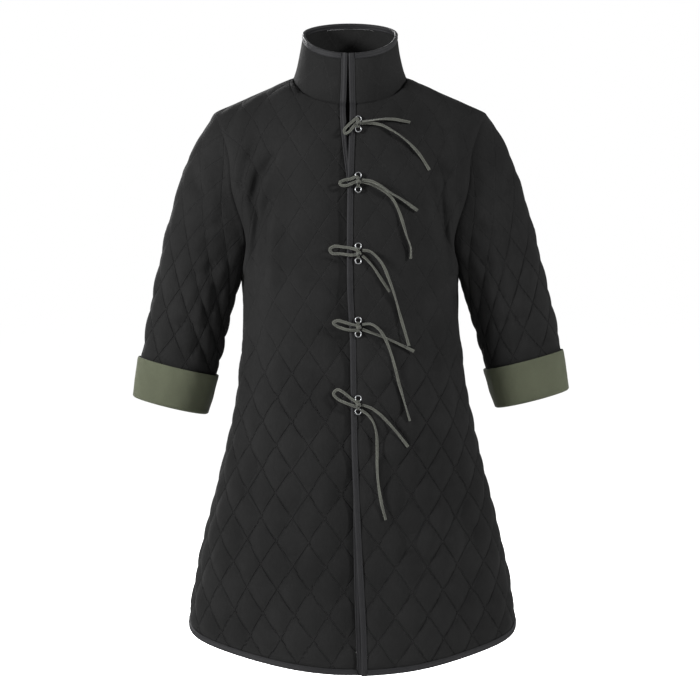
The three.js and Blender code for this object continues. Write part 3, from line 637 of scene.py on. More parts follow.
def cut_size(p):
    """Flat width, length and area of a piece of cloth in metres, from its plain grid."""
    wide, tall = lengths(p, 1)[:, -1].max(), lengths(p, 0)[-1].max()
    a, b = p[1:, :-1] - p[:-1, :-1], p[:-1, 1:] - p[:-1, :-1]
    c, d = p[1:, :-1] - p[1:, 1:], p[:-1, 1:] - p[1:, 1:]
    area = (np.linalg.norm(np.cross(a, b), axis=-1) + np.linalg.norm(np.cross(c, d), axis=-1)).sum() / 2
    return wide * MM, tall * MM, area * MM * MM


# ---------------------------------------------------------------- laces and eyelets
FRONT = PANELS["front_left"]
STRAND_IN = 2.2                  # how far inside an eyelet's middle a strand ends
HOLE_LIFTS = (0.85, 0.6)         # the dark disc's two faces, above the cloth under the ring


def front_out(s, t):
    small = 0.004
    along = FRONT.point(s + small, t) - FRONT.point(s - small, t)
    return unit(np.cross(along, FRONT.point(s, t + small) - FRONT.point(s, t - small)))


def lying(route):
    """Points lifted off the left front, and the way out of it, for (x, z, lift) as seen from the front."""
    x, z, lift = np.asarray(route, float).T
    # Newton's steps find the place on the front from a first guess
    s, t, small = np.full(len(x), 0.2), mix(0.1, 0.95, (z + 960) / 900), 0.001
    for _ in range(30):
        p = FRONT.point(s, t)
        ds, dt = (FRONT.point(s + small, t) - p) / small, (FRONT.point(s, t + small) - p) / small
        det = ds[:, 0] * dt[:, 2] - dt[:, 0] * ds[:, 2]
        off_x, off_z = x - p[:, 0], z - p[:, 2]
        s = np.clip(s + (off_x * dt[:, 2] - off_z * dt[:, 0]) / det, -0.2, 0.98)
        t = np.clip(t + (off_z * ds[:, 0] - off_x * ds[:, 2]) / det, 0.01, 0.98)
    # left of the front's own edge the lace lies straight on over the binding
    at = np.maximum(s, 0.012)
    p, out = FRONT.point(at, t), front_out(at, t)
    aside = np.where((s < at)[:, None], stack(x - p[:, 0], 0.0, z - p[:, 2]), 0.0)
    return p + out * lift[:, None] + aside, out


def ribbon(points, outs, sizes, closed=False, twist=(0.0, 90.0), wide=None, thick=None, step=2.2):
    """Sections of a flat woven lace through points, with a slow twist; also its middle line."""
    dense, run = catmull(points, closed)
    count = max(8, int(run[-1] / step))
    where = np.linspace(0, run[-1], count, endpoint=not closed)
    middle = at_distance(dense, run, where)
    share = np.linspace(0, 1, len(points) + (1 if closed else 0))
    facing = np.concatenate([outs, outs[:1]]) if closed else outs
    out = unit(at_distance(facing, share, where / run[-1]))
    if closed:
        along = unit(np.roll(middle, -1, axis=0) - np.roll(middle, 1, axis=0))
    else:
        along = unit(np.gradient(middle, axis=0))
    across = unit(np.cross(along, out))
    up = unit(np.cross(across, along))
    turn = (twist[0] * np.sin(2 * np.pi * where / twist[1] + points[0][2]))[:, None]
    across, up = across * np.cos(turn) + up * np.sin(turn), up * np.cos(turn) - across * np.sin(turn)
    shape = rounded((wide or sizes.lace_wide) / 2, (thick or sizes.lace_thick) / 2, 0.62, 14)
    width = 1 + 0.05 * np.sin(where / 7.3 + points[0][0])
    sections = middle[:, None] + across[:, None] * (shape[None, :, :1] * width[:, None, None]) \
        + up[:, None] * shape[None, :, 1:]
    return sections, middle


def build_lace_ends(sizes):
    """The free ends of the laces: flat woven cotton, hanging from the bows."""
    cloth = lace_cotton()
    for number, pair in enumerate(LACE_ENDS, 1):
        for letter, route in zip("ab", pair):
            points, outs = lying(route)
            sections, middle = ribbon(points, outs, sizes, twist=(0.8, 120.0 + 11 * number))
            name = f"lace_end_{number}_{letter}"
            points, faces, corners, uv = tube_parts(sections)
            piece = make_piece(f"lace_{number}_{letter}", points, faces, corners, uv, cloth, "lace", (name,))
            run = np.linalg.norm(np.diff(middle, axis=0), axis=1).sum() * MM
            [tuple(p * MM) for p in middle]


def build_bows(sizes):
    """At each pair of eyelets: the loop, the two crossed strands between them, and the knot's two turns."""
    cloth = lace_cotton()
    for number, (loop, (height, apart)) in enumerate(zip(LACE_LOOPS, STATIONS), 1):
        points, outs = lying(loop)
        parts = [tube_parts(ribbon(points, outs, sizes, closed=True, twist=(0.35, 47.0))[0], closed=True)]
        half = apart / 2
        for lean in (-1, 1):
            strand = ((0.8, half - STRAND_IN, 0.9), (1.5, half / 2, 3.9), (0, 0, 5.0 + 0.9 * lean),
                      (-1.5, -half / 2, 3.9), (-0.8, STRAND_IN - half, 0.9))
            points, outs = lying([(EYELET_X + lean * x, height + z, lift) for x, z, lift in strand])
            parts.append(tube_parts(ribbon(points, outs, sizes, wide=2.2, thick=1.5, step=1.2)[0]))
        (centre,), (out,) = lying([(EYELET_X + 0.6, height, 6.0)])
        for tilt, reach, deep in ((0.35, 3.9, 3.0), (-0.55, 3.4, 3.4)):
            axis = unit(np.array([math.sin(tilt), 0.0, math.cos(tilt)]))
            side = unit(np.cross(axis, out))
            turn = spread(0, 2 * np.pi, 8)[:, None]
            ring = centre + side * reach * np.cos(turn) + out * deep * np.sin(turn)
            away = side * np.cos(turn) + out * np.sin(turn)
            wrap = ribbon(ring, away, sizes, closed=True, wide=3.4, thick=1.3, step=1.0)[0]
            parts.append(tube_parts(wrap, closed=True))
        make_piece(f"bow_{number}", *join_parts(parts), cloth, "lace", (f"lace_bow_{number}",))


def build_eyelets():
    """Rolled metal rings, each over a near-black disc of painted shade that stands for the hole in the cloth.
    """
    metal, dark = eyelet_metal(), painted_hole_shade()
    hole, rim = EYELET_HOLE, EYELET_OUT
    profile = catmull([(hole, 0.0), (rim, 0.0), (rim - 0.2, 0.9), (rim - 0.9, 1.5), (rim - 1.6, 1.2),
                       (hole + 0.1, 0.4)], closed=True)
    line = at_distance(*profile, spread(0, profile[1][-1], 22))
    turn = spread(0, 2 * np.pi, 40)[:, None]
    for number, (height, apart) in enumerate(STATIONS, 1):
        for word, z in (("top", height + apart / 2), ("low", height - apart / 2)):
            name = f"eyelet_{number}_{word}"
            (centre,), (out,) = lying([(EYELET_X, z, 1.5)])
            side = unit(np.cross(out, np.array([0.0, 0.0, 1.0])))
            ray = side * np.cos(turn) + np.cross(side, out) * np.sin(turn)
            ring = centre + ray[:, None] * line[None, :, :1] + out * line[None, :, 1:]
            make_piece(f"{name}_ring", *tube_parts(ring, closed=True), metal, "eyelet", (name,))
            # painted shade: no hole is cut; a near-black disc lies over the cloth under each ring
            disc = np.stack([centre + ray * hole * 1.1 + out * lift for lift in HOLE_LIFTS])
            make_piece(f"{name}_hole", *tube_parts(disc), dark, "quilt")


# ---------------------------------------------------------------- the quilted pieces
def declare_cloth(piece, p):
    wide, tall, area = cut_size(p)


FORMS = {}                       # plain grids kept for the bindings: name -> (points, into the cloth)


def build_fronts(sizes):
    """The left and right fronts, each up to the shoulder seam."""
    cloth = quilt_cotton()
    for name in ("front_left", "front_right"):
        p, deep, outer, inner, uv = panel_cloth(name, PANELS[name], sizes)
        FORMS[name] = (p, deep)
        declare_cloth(shell(f"{name}_cloth", outer, inner, uv, cloth, "quilt", (name,)), p)


def build_back(sizes):
    """The back in one piece, its two halves joined at the middle."""
    left, right = (panel_cloth("back", PANELS[key], sizes) for key in ("back_left", "back_right"))
    p, deep, outer, inner, uv = (np.concatenate([b[:, :0:-1], a], axis=1) for a, b in zip(left, right))
    FORMS["back"] = (p, deep)
    declare_cloth(shell("back_cloth", outer, inner, uv, quilt_cotton(), "quilt", ("back",)), p)


def collar_form():
    """The collar's grid from the right front edge round the back to the left front edge."""
    columns = []
    quarter = np.linspace(0, 1, COLLAR_COLS)
    for key in ("front_right", "back_right", "back_left", "front_left"):
        panel = PANELS[key]
        start = math.asin(float(panel.edge(-NECK_DIP)) / NECK_WIDE) if panel.edge else 0.0
        angle = mix(start, np.pi / 2, quarter)
        if key in ("back_right", "front_left"):
            angle = angle[::-1]
        keep = slice(0 if key == "front_right" else 1, None)
        columns += [(a, panel) for a in angle[keep]]
    high = np.linspace(0, 1, COLLAR_ROWS)
    grid = np.stack([collar_point(np.full(COLLAR_ROWS, a), panel.front, high) * np.array([panel.side, 1, 1])
                     for a, panel in columns], axis=1)
    deep = -grid_normals(grid)
    if deep[COLLAR_ROWS // 2, 2 * (COLLAR_COLS - 1), 1] > 0:        # behind, inwards is towards the front
        deep = -deep
    turn_into(neck_deep(grid[0]), deep)
    return grid, deep


def build_collar(sizes):
    """The standing collar, one strip round the neck."""
    p, deep = collar_form()
    FORMS["collar"] = (p, deep)
    across, up = lengths(p, 1), lengths(p, 0)
    u = across - across[:, -1:] / 2 + QUILT_START["collar"][0]
    v = up + QUILT_START["collar"][1]
    edge = np.minimum(across, across[:, -1:] - across)
    rim = np.minimum(up[-1:] - up, edge)
    mask = ease(up / 14) * (0.25 + 0.75 * ease(rim / 10)) * 0.75
    ditch = seam_ditch(up, sizes) + seam_ditch(rim, sizes)
    outer, inner = raise_cloth("collar", p, deep, u, v, mask, ditch, sizes)
    piece = shell("collar_cloth", outer, inner, stack(u, v), quilt_cotton(), "quilt", ("collar",))
    declare_cloth(piece, p)


def build_sleeves(sizes):
    """Both sleeves, one tube each from the armhole to under the cuff."""
    cloth = quilt_cotton()
    turn, v = np.meshgrid(spread(0, 2 * np.pi, SLEEVE_SIDES), np.linspace(0, 1, SLEEVE_ROWS))
    outer_line = SLEEVE_SIDES // 2
    for word, (side, *stops) in SLEEVES.items():
        name = f"sleeve_{word}"
        p = sleeve_point([side_line(line) for line in stops], v, turn)
        deep = grid_normals(p, ringed=True)
        if deep[SLEEVE_ROWS // 2, outer_line, 0] > 0:               # inwards is towards the body there
            deep = -deep
        turn_into(armhole_deep(p[0]), deep)
        mirror = np.array([side, 1, 1])
        p, deep = p * mirror, deep * mirror
        closed = np.concatenate([p, p[:, :1]], axis=1)
        down, around = lengths(closed, 0), lengths(closed, 1)
        high = down[-1:] - down
        cloth_u = (around - around[:, outer_line, None] + QUILT_START[name][0]) * side
        cloth_v = high + QUILT_START[name][1]
        mask = ease(down / 16) * ease((high - CUFF_DEEP - 2) / 22)
        ditch = seam_ditch(down, sizes)
        into = np.concatenate([deep, deep[:, :1]], axis=1)
        outer, inner = raise_cloth(name, closed, into, cloth_u, cloth_v, mask, ditch, sizes)
        piece = shell(f"{name}_cloth", outer[:, :-1], inner[:, :-1], stack(cloth_u, cloth_v), cloth, "quilt",
                      (name,), ringed=True)
        declare_cloth(piece, closed)


def build_cuffs():
    """Plain cotton turned back round the sleeve's end: outside, fold and a short stretch inside."""
    cloth = cuff_cotton()
    for word, (side, *stops) in SLEEVES.items():
        turns = spread(0, 2 * np.pi, 150)
        lines = [side_line(line) for line in stops]
        (_, outer_run), (_, inner_run) = lines
        length = mix(inner_run[-1], outer_run[-1], (1 - np.cos(turns)) / 2)
        end = sleeve_point(lines, 1.0, turns)
        down = unit(end - sleeve_point(lines, 0.96, turns))
        small = 0.01
        round_end = sleeve_point(lines, 1.0, turns + small) - sleeve_point(lines, 1.0, turns - small)
        out = unit(np.cross(down, round_end))

        def outside(mm, lift):
            v = 1 - mm / length
            at = sleeve_point(lines, v, turns)
            around = sleeve_point(lines, v, turns + small) - sleeve_point(lines, v, turns - small)
            after = sleeve_point(lines, np.minimum(1, v + small), turns)
            fall = after - sleeve_point(lines, v - small, turns)
            return at + unit(np.cross(fall, around)) * np.asarray(lift)[..., None]

        def below(mm, lift):
            return end + down * mm + out * lift

        near, far = CUFF_LIFT, CUFF_LIFT + CUFF_WALL
        wave = 0.55 * np.sin(turns * 5 + 0.7 * side) + 0.4 * np.sin(turns * 11 + 1.9)
        loose = np.maximum(0, wave)
        inside, lining = -(WALL + 0.8), -(WALL + 0.8 + CUFF_WALL)
        rings = [outside(mm, near + 0.4 * loose) for mm in (CUFF_DEEP, 60, 50, 40, 30, 20, 10)]
        turned = CUFF_REACH + CUFF_WALL
        rings += [below(CUFF_REACH, near - 0.4), below(CUFF_REACH, inside + 0.4),
                  below(-CUFF_INSIDE / 2, inside), below(-CUFF_INSIDE, inside),
                  below(-CUFF_INSIDE, lining), below(-CUFF_INSIDE / 2, lining),
                  below(CUFF_REACH - 1.0, lining + 0.1), below(turned - 0.3, inside),
                  below(turned, (inside + near) / 2), below(turned - 0.4, near)]
        for mm, swell in ((-1, 0.1), (4, 0.2), (8, 0.35), (14, 0.6), (20, 0.8), (26, 1), (32, 1), (38, 1),
                          (44, 1), (50, 1), (55, 1), (60, 1.1), (63.5, 0.9)):
            ripple = 0.5 * np.sin(turns * 7 + mm * 0.09) + 0.35 * np.sin(turns * 17 - mm * 0.16)
            puff = (1 + loose + 0.5 * ripple) * swell
            rings.append(outside(mm, far + puff) if mm > 0 else below(-mm, far + 0.1))
        rings.append(outside(CUFF_DEEP + 0.4, far + 0.4 + loose))
        rings.append(outside(CUFF_DEEP + 0.4, near + 0.6 + 0.4 * loose))
        sections = np.stack(rings, axis=1) * np.array([side, 1, 1])
        points, faces, corners, uv = tube_parts(sections, closed=True)
        piece = make_piece(f"cuff_{word}_cloth", points, faces, corners, uv, cloth, "cuff", (f"cuff_{word}",))


# ---------------------------------------------------------------- bound edges
def smooth_path(values):
    for _ in range(6):
        values = np.concatenate([values[:1], (values[:-2] + 2 * values[1:-1] + values[2:]) / 4, values[-1:]])
    return values


TAPE_STEP = 3.2                  # distance between two sections of a tape


def binding(name, middle, thick, away, cloth, number):
    """A rolled tape round an edge; its flat side butts the cloth, and it puckers a little at the stitches."""
    thick, away = unit(smooth_path(thick)), unit(smooth_path(away))
    run = lengths(middle, 0)
    where = np.linspace(0, run[-1], int(run[-1] / TAPE_STEP))
    middle, thick, away = (at_distance(v, run, where) for v in (middle, thick, away))
    half = (BINDING_WIDTH - BINDING_STEP) / 2
    shape = rounded(half, WALL / 2 + 1.0, 0.72, 32)
    butt = shape[:, 0] < -0.5 * half
    shape[butt, 0] = np.minimum(shape[butt, 0], -half + 1.2 * (np.abs(shape[butt, 1]) > 2.2)) - 0.42
    pucker = 0.28 * np.sin(where / 2.9 + number) * np.sin(where / 17 + 2 * number)
    swell = 1 + (pucker + 0.2 * np.sin(where / 41 + number))[:, None] / 3
    across = BINDING_STEP + half + shape[None, :, 0]
    # the roll is full at its outer edge and is stitched down beside the cloth
    share = shape[None, :, 0] / half
    pressed = 0.4 * np.exp(-(((share + 0.35) / 0.2) ** 2)) + 0.2 * (share < -0.35)
    high = shape[None, :, 1] * swell * (1 - pressed)
    sections = middle[:, None] + away[:, None] * across[..., None] + thick[:, None] * high[..., None]
    make_piece(f"{name}_tape", *tube_parts(sections), cloth, "binding", (name,))


def edge_of(p, deep, nearer):
    """Middle line, thickness and way out across an edge of a grid; nearer is the next line of the grid."""
    thick = -deep
    rough = p - nearer
    return p + deep * WALL / 2, thick, unit(rough - thick * (rough * thick).sum(axis=-1, keepdims=True))


def build_bindings():
    """The tapes round the hem, the collar's top and the two front edges."""
    cloth = binding_tape()
    hems = {"left": "front_left", "right": "front_right", "back": "back"}
    for number, (word, key) in enumerate(hems.items()):
        p, deep = FORMS[key]
        binding(f"binding_hem_{word}", *edge_of(p[0], deep[0], p[1]), cloth, number)
    collar, into = FORMS["collar"]
    binding("binding_collar", *edge_of(collar[-1], into[-1], collar[-2]), cloth, 3)
    for number, key, column, beside in ((4, "front_left", -1, -2), (5, "front_right", 0, 1)):
        p, deep = FORMS[key]
        body = edge_of(p[:, 0], deep[:, 0], p[:, 1])
        stand = edge_of(collar[1:, column], into[1:, column], collar[1:, beside])
        middle, thick, away = (np.concatenate(pair) for pair in zip(body, stand))
        ends = [middle[0] + unit(middle[0] - middle[1]) * BINDING_WIDTH,
                middle[-1] + unit(middle[-1] - middle[-2]) * BINDING_WIDTH]
        middle = np.concatenate([ends[0][None], middle, ends[1][None]])
        thick, away = (np.concatenate([v[:1], v, v[-1:]]) for v in (thick, away))
        binding(f"binding_{key}", middle, thick, away, cloth, number)


# ---------------------------------------------------------------- materials
SMOOTH = {"interpolation_type": "SMOOTHSTEP"}


def linear(hex_colour):
    """An sRGB hex colour as linear RGB."""
    values = (int(hex_colour[i:i + 2], 16) / 255 for i in (0, 2, 4))
    return tuple(v / 12.92 if v <= 0.04045 else ((v + 0.055) / 1.055) ** 2.4 for v in values)


def feed(tree, socket, value):
    """Gives a socket a value or a link; a node stands for its first output."""
    if isinstance(value, bpy.types.Node):
        value = value.outputs[0]
    if isinstance(value, bpy.types.NodeSocket):
        tree.links.new(value, socket)
    else:
        socket.default_value = value


def add(tree, kind, *inputs, sockets=(), **settings):
    """One node with its settings, fed by place and then by socket name or number."""
    node = tree.nodes.new("ShaderNode" + kind)
    for key, value in settings.items():
        setattr(node, key, value)
    for key, value in (*enumerate(inputs), *dict(sockets).items()):
        feed(tree, node.inputs[key], value)
    return node


def new_material(name, hex_colour="ffffff", **finish):
    """A material with one Principled shader, whose sockets are set by name with _ for spaces."""
    if name in bpy.data.materials:
        return bpy.data.materials[name], None, None
    material = bpy.data.materials.new(name)
    material.use_nodes = True
    tree = material.node_tree
    shader = tree.nodes["Principled BSDF"]
    shader.inputs["Base Color"].default_value = (*linear(hex_colour), 1.0)
    for key, value in finish.items():
        shader.inputs[key.replace("_", " ")].default_value = value
    return material, tree, shader


def scale_for(size):
    """A pattern's scale for features of a size in millimetres."""
    return 1 / (size * MM)


def cloth_axes(node):
    cloth = node("UVMap", uv_map=CLOTH_UV)
    parts = node("SeparateXYZ", cloth)
    return cloth, parts.outputs[0], parts.outputs[1]


def near_line(node, value, spacing):
    """Distance in millimetres to the nearest whole number of a value that grows by 1 each spacing."""
    return node("Math", node("Math", value, 0.5, operation="PINGPONG"), spacing, operation="MULTIPLY")


def weighted(node, *terms):
    """The sum of values, each times its weight."""
    total = 0.0
    for value, weight in terms:
        total = node("Math", value, weight, total, operation="MULTIPLY_ADD")
    return total


def threads(node, u, v, pitch):
    """Height of a twill weave whose ribs are a pitch in millimetres apart."""
    rising = node("Math", node("Math", u, v, operation="ADD"), pitch * MM, operation="DIVIDE")
    falling = node("Math", node("Math", u, v, operation="SUBTRACT"), pitch * 0.7 * MM, operation="DIVIDE")
    rib, pick = (node("Math", value, 0.5, operation="PINGPONG") for value in (rising, falling))
    return weighted(node, (rib, 1.0), (pick, 0.5))


def raise_surface(node, shader, height, depth):
    """Bump of a height whose 1 is a depth in millimetres."""
    bump = node("Bump", sockets={"Strength": 1.0, "Distance": depth * MM, "Height": height})
    feed(shader.id_data, shader.inputs["Normal"], bump)


def tint(node, shader, colour, tone):
    """The base colour, brighter or darker by a tone."""
    shaded = node("VectorMath", tuple(colour), sockets={"Scale": tone}, operation="SCALE")
    feed(shader.id_data, shader.inputs["Base Color"], shaded)


def quilt_cotton():
    """Brushed cotton drill, machine quilted over wadding.

    The nap makes it matte, and the stitched lines sink in; the shade in them is painted into the colour as
    darker lines, and each stitch gets a painted highlight.
    """
    scene = bpy.context.scene
    sizes = scene.gambeson_sizes
    material, tree, shader = new_material("Brushed cotton drill, quilted", Roughness=0.9, IOR=1.47,
                                          Specular_IOR_Level=0.02)
    if not tree:
        return material
    node = partial(add, tree)
    cloth, u, v = cloth_axes(node)
    wide, high = sizes.diamond_wide, sizes.diamond_high
    across = node("Math", u, wide * MM, operation="DIVIDE")
    up = node("Math", v, high * MM, operation="DIVIDE")
    rising, falling = (node("Math", across, up, operation=way) for way in ("ADD", "SUBTRACT"))
    spacing = 1 / math.hypot(1 / wide, 1 / high)
    near_a, near_b = near_line(node, rising, spacing), near_line(node, falling, spacing)
    nearest = node("Math", near_a, near_b, operation="MINIMUM")
    # the stitched lines are worn flat round the chest and pressed out of the collar
    worn = node("MapRange", v, -CHEST_FADE[0] * MM, -CHEST_FADE[1] * MM, 1.0, 0.42, **SMOOTH)
    pressed = node("MapRange", v, COLLAR_FADE[0] * MM, COLLAR_FADE[1] * MM, 1.0, 0.1, **SMOOTH)
    fade = node("Math", worn, pressed, operation="MULTIPLY")
    # how far into a stitched line: the groove's depth for the bump, and the strength of the painted shade
    groove_and_painted_shade = node("Math", node("MapRange", nearest, 0.3, 1.6, 1.0, 0.0, **SMOOTH), fade, operation="MULTIPLY")
    thread = node("MapRange", nearest, 0.35, 0.75, 1.0, 0.0, **SMOOTH)
    # each stitch is 3.1 mm long, and the thread dips between two stitches
    stitches = round(math.hypot(wide, high) / 2 / 3.1)
    counted = [node("Math", line, stitches, operation="MULTIPLY") for line in (falling, rising)]
    run_a, run_b = (node("Math", line, 0.5, operation="PINGPONG") for line in counted)
    on_a = node("Math", near_a, near_b, operation="LESS_THAN")
    run = node("Mix", on_a, sockets={2: run_b, 3: run_a}, data_type="FLOAT")
    stitch = node("Math", thread, node("MapRange", run, 0.06, 0.2, 0.0, 1.0, **SMOOTH), operation="MULTIPLY")
    # worn patches are 111 mm across, and tufts of the nap 2.4 mm
    place = node("TexCoord").outputs["Object"]
    patches = node("TexNoise", sockets={"Vector": place, "Scale": scale_for(111), "Detail": 4.0,
                                        "Roughness": 0.6})
    nap = node("TexNoise", sockets={"Vector": place, "Scale": scale_for(2.38), "Detail": 3.0,
                                    "Roughness": 0.7})
    tone = node("Math", node("MapRange", patches, 0.3, 0.7, 0.88, 1.12, **SMOOTH),
                node("MapRange", nap, 0.25, 0.75, -0.16, 0.16, **SMOOTH), operation="ADD")
    # painted shade: the cloth on the stitched lines is painted darker for the shade in their grooves
    shade = node("MapRange", groove_and_painted_shade, 0.0, 1.0, 1.0, sizes.painted_line_shade, **SMOOTH)
    # painted highlight: each stitch of thread adds half the base colour again, for the light on the thread
    lit = node("Math", stitch, 0.5, node("Math", tone, shade, operation="MULTIPLY"), operation="MULTIPLY_ADD")
    tint(node, shader, scene.gambeson_colours.quilt, lit)
    # the drill's own ribs are 0.6 mm apart; they are drawn at 1.3 mm so that they still show
    weave = threads(node, u, v, 1.3)
    # puckers 5.9 mm across gather the cloth near the stitched lines
    fine = node("TexNoise", sockets={"Vector": cloth, "Scale": scale_for(5.88), "Detail": 2.0,
                                     "Roughness": 0.55})
    near = node("MapRange", nearest, 1.0, 12.0, 1.0, 0.3, **SMOOTH)
    pucker = node("Math", fine, near, operation="MULTIPLY")
    height = weighted(node, (weave, 0.10), (pucker, 0.9), (nap, 0.12), (groove_and_painted_shade, -1.6), (stitch, 0.35))
    raise_surface(node, shader, height, 1.0)
    return material


def plain_cotton(name, base, rib, slub, **finish):
    """A woven cotton with ribs and slubs; the caller says what it is and how its surface looks."""
    material, tree, shader = new_material(name, **finish)
    if not tree:
        return material
    node = partial(add, tree)
    cloth, u, v = cloth_axes(node)
    # worn patches are 71 mm across, and slubs 1.1 by 6.25 mm
    place = node("TexCoord").outputs["Object"]
    patches = node("TexNoise", sockets={"Vector": place, "Scale": scale_for(71.4), "Detail": 4.0,
                                        "Roughness": 0.6})
    drawn = node("Mapping", sockets={"Vector": cloth, "Scale": (scale_for(1.11), scale_for(6.25), 1.0)})
    yarn = node("TexNoise", sockets={"Vector": drawn, "Scale": 1.0, "Detail": 2.0})
    tone = node("Math", node("MapRange", patches, 0.3, 0.7, 0.92, 1.08, **SMOOTH),
                node("MapRange", yarn, 0.25, 0.75, -slub, slub, **SMOOTH), operation="ADD")
    tint(node, shader, base, tone)
    raise_surface(node, shader, weighted(node, (threads(node, u, v, rib), 0.35), (yarn, 0.35)), 0.4)
    return material


def cuff_cotton():
    """Olive cotton canvas, plain woven: matte, with thick and thin yarns that show as faint streaks."""
    return plain_cotton("Olive cotton canvas", bpy.context.scene.gambeson_colours.cuff, 1.2, 0.07,
                        Roughness=0.85, IOR=1.47, Specular_IOR_Level=0.06)


def binding_tape():
    """Cotton bias tape, folded and pressed: smoother than the quilting, so its roll catches the light."""
    return plain_cotton("Pressed cotton bias tape", bpy.context.scene.gambeson_colours.binding, 1.1, 0.08,
                        Roughness=0.6, IOR=1.47, Specular_IOR_Level=0.06)


def lace_cotton():
    """Flat woven cotton lace: a coarse herringbone of grey-green yarns, matte with a soft fuzz; its edges
    carry a painted highlight and the middle of each face painted shade.
    """
    material, tree, shader = new_material("Flat woven cotton lace", Roughness=0.8, IOR=1.47,
                                          Specular_IOR_Level=0.2, Sheen_Weight=0.08, Sheen_Roughness=0.4)
    if not tree:
        return material
    node = partial(add, tree)
    cloth, u, v = cloth_axes(node)
    # from each edge to the middle of a face is 2.8 mm, and yarns 1.4 mm apart lean from there both ways
    inward = node("Math", v, 2.8 * MM, operation="PINGPONG")
    along = node("Math", node("Math", u, inward, operation="ADD"), 1.4 * MM, operation="DIVIDE")
    yarn = node("Math", along, 0.5, operation="PINGPONG")
    # painted light: the lace is painted brighter at its edges as a painted highlight, and darker down the
    # middle of each face as painted shade
    edges = node("MapRange", inward, 0.8 * MM, 2.2 * MM, 1.25, 0.72, **SMOOTH)
    yarns = node("MapRange", yarn, 0.05, 0.4, 0.62, 1.08, **SMOOTH)
    weave = node("Math", yarns, edges, operation="MULTIPLY")
    worn = node("TexNoise", sockets={"Vector": cloth, "Scale": scale_for(16.67), "Detail": 3.0})
    tone = node("Math", weave, node("MapRange", worn, 0.3, 0.7, -0.12, 0.12, **SMOOTH), operation="ADD")
    tint(node, shader, bpy.context.scene.gambeson_colours.lace, tone)
    raise_surface(node, shader, yarn, 0.5)
    return material


def eyelet_metal():
    """Brass eyelets, nickel plated and tumbled: bright rims, with the plating scuffed and dull in patches."""
    material, tree, shader = new_material("Nickel-plated brass", Metallic=1.0)
    if not tree:
        return material
    node = partial(add, tree)
    # scuffs are 1.4 mm across
    place = node("TexCoord").outputs["Object"]
    scuff = node("TexNoise", sockets={"Vector": place, "Scale": scale_for(1.43), "Detail": 4.0})
    feed(tree, shader.inputs["Roughness"], node("MapRange", scuff, 0.35, 0.7, 0.34, 0.6, **SMOOTH))
    share = node("MapRange", scuff, 0.4, 0.75, 0.0, 1.0, **SMOOTH)
    bright, dull = (*bpy.context.scene.gambeson_colours.metal, 1.0), (*linear("1d1b19"), 1.0)
    colour = node("Mix", share, sockets={6: bright, 7: dull}, data_type="RGBA")
    feed(tree, shader.inputs["Base Color"], colour.outputs[2])
    return material


def painted_hole_shade():
    """A near-black disc of painted shade, for the cotton seen down an eyelet's hole where almost no light
    comes back.
    """
    return new_material("Cotton in shadow", "070707", Roughness=0.95, Specular_IOR_Level=0.0)[0]


# ---------------------------------------------------------------- stage
def aim(thing, place, target):
    thing.location = place
    thing.rotation_euler = (Vector(target) - Vector(place)).to_track_quat("-Z", "Y").to_euler()
    bpy.context.scene.collection.objects.link(thing)


def area_light(name, place, target, size, power, tint=(1.0, 1.0, 1.0)):
    lamp = bpy.data.lights.new(name, "AREA")
    lamp.shape, lamp.size, lamp.energy, lamp.color = "DISK", size, power, tint
    aim(bpy.data.objects.new(name, lamp), place, target)


def build_stage():
    """Camera, soft studio light and a plain pale floor."""
    scene = bpy.context.scene
    camera = bpy.data.cameras.new("camera")
    camera.sensor_width, camera.lens = 36.0, 105.9
    view = bpy.data.objects.new("camera", camera)
    aim(view, (0.0, -3.5, -0.30), (0.0, 0.0, -0.461))
    scene.camera = view
    world = bpy.data.worlds.new("studio")
    world.use_nodes = True
    world.node_tree.nodes["Background"].inputs[0].default_value = (1.0, 1.0, 1.0, 1.0)
    world.node_tree.nodes["Background"].inputs[1].default_value = 1.0
    scene.world = world
    scene.view_settings.view_transform = "Standard"
    area_light("key", (2.8, -1.3, 0.95), (0.0, 0.0, -0.5), 0.4, 285.0)
    area_light("fill", (-1.9, -1.1, 0.35), (0.0, 0.0, -0.5), 0.5, 235.0)
    area_light("rear", (-1.8, 3.2, 1.7), (0.0, 0.0, -0.4), 1.6, 420.0)
    mesh = bpy.data.meshes.new("floor")
    reach, down = 30.0, -1.45
    corners = [(-reach, -reach, down), (reach, -reach, down), (reach, reach, down), (-reach, reach, down)]
    mesh.from_pydata(corners, [], [(0, 1, 2, 3)])
    floor = bpy.data.objects.new("floor", mesh)
    scene.collection.objects.link(floor)
    paint = new_material("Painted studio floor", "ffffff", Roughness=1.0, Specular_IOR_Level=0.0)[0]
    mesh.materials.append(paint)


# ---------------------------------------------------------------- what a user would change
class GambesonSizes(bpy.types.PropertyGroup):
    """Sizes of the cloth's relief and of the laces, in millimetres."""

    diamond_wide: bpy.props.FloatProperty(
        name="Diamond width", description="Between two stitched corners, across", default=57.0, min=20.0)
    diamond_high: bpy.props.FloatProperty(
        name="Diamond height", description="Between two stitched corners, up", default=79.0, min=20.0)
    puff: bpy.props.FloatProperty(
        name="Puff", description="How far the wadding stands between stitched lines", default=5.6, min=0.0)
    seam_ditch: bpy.props.FloatProperty(
        name="Seam ditch", description="How far the cloth sinks at a seam", default=1.1, min=0.0)
    # how dark the stitched lines are painted: painted shade in their grooves, where 1 paints none
    painted_line_shade: bpy.props.FloatProperty(
        name="Line shade", description="Brightness of the cloth on a stitched line", default=0.7,
        subtype="FACTOR", min=0.0, max=1.0)
    lace_wide: bpy.props.FloatProperty(
        name="Lace width", description="Flat width of a lace", default=4.8, min=1.0)
    lace_thick: bpy.props.FloatProperty(
        name="Lace thickness", description="Thickness of a lace", default=1.5, min=0.5)


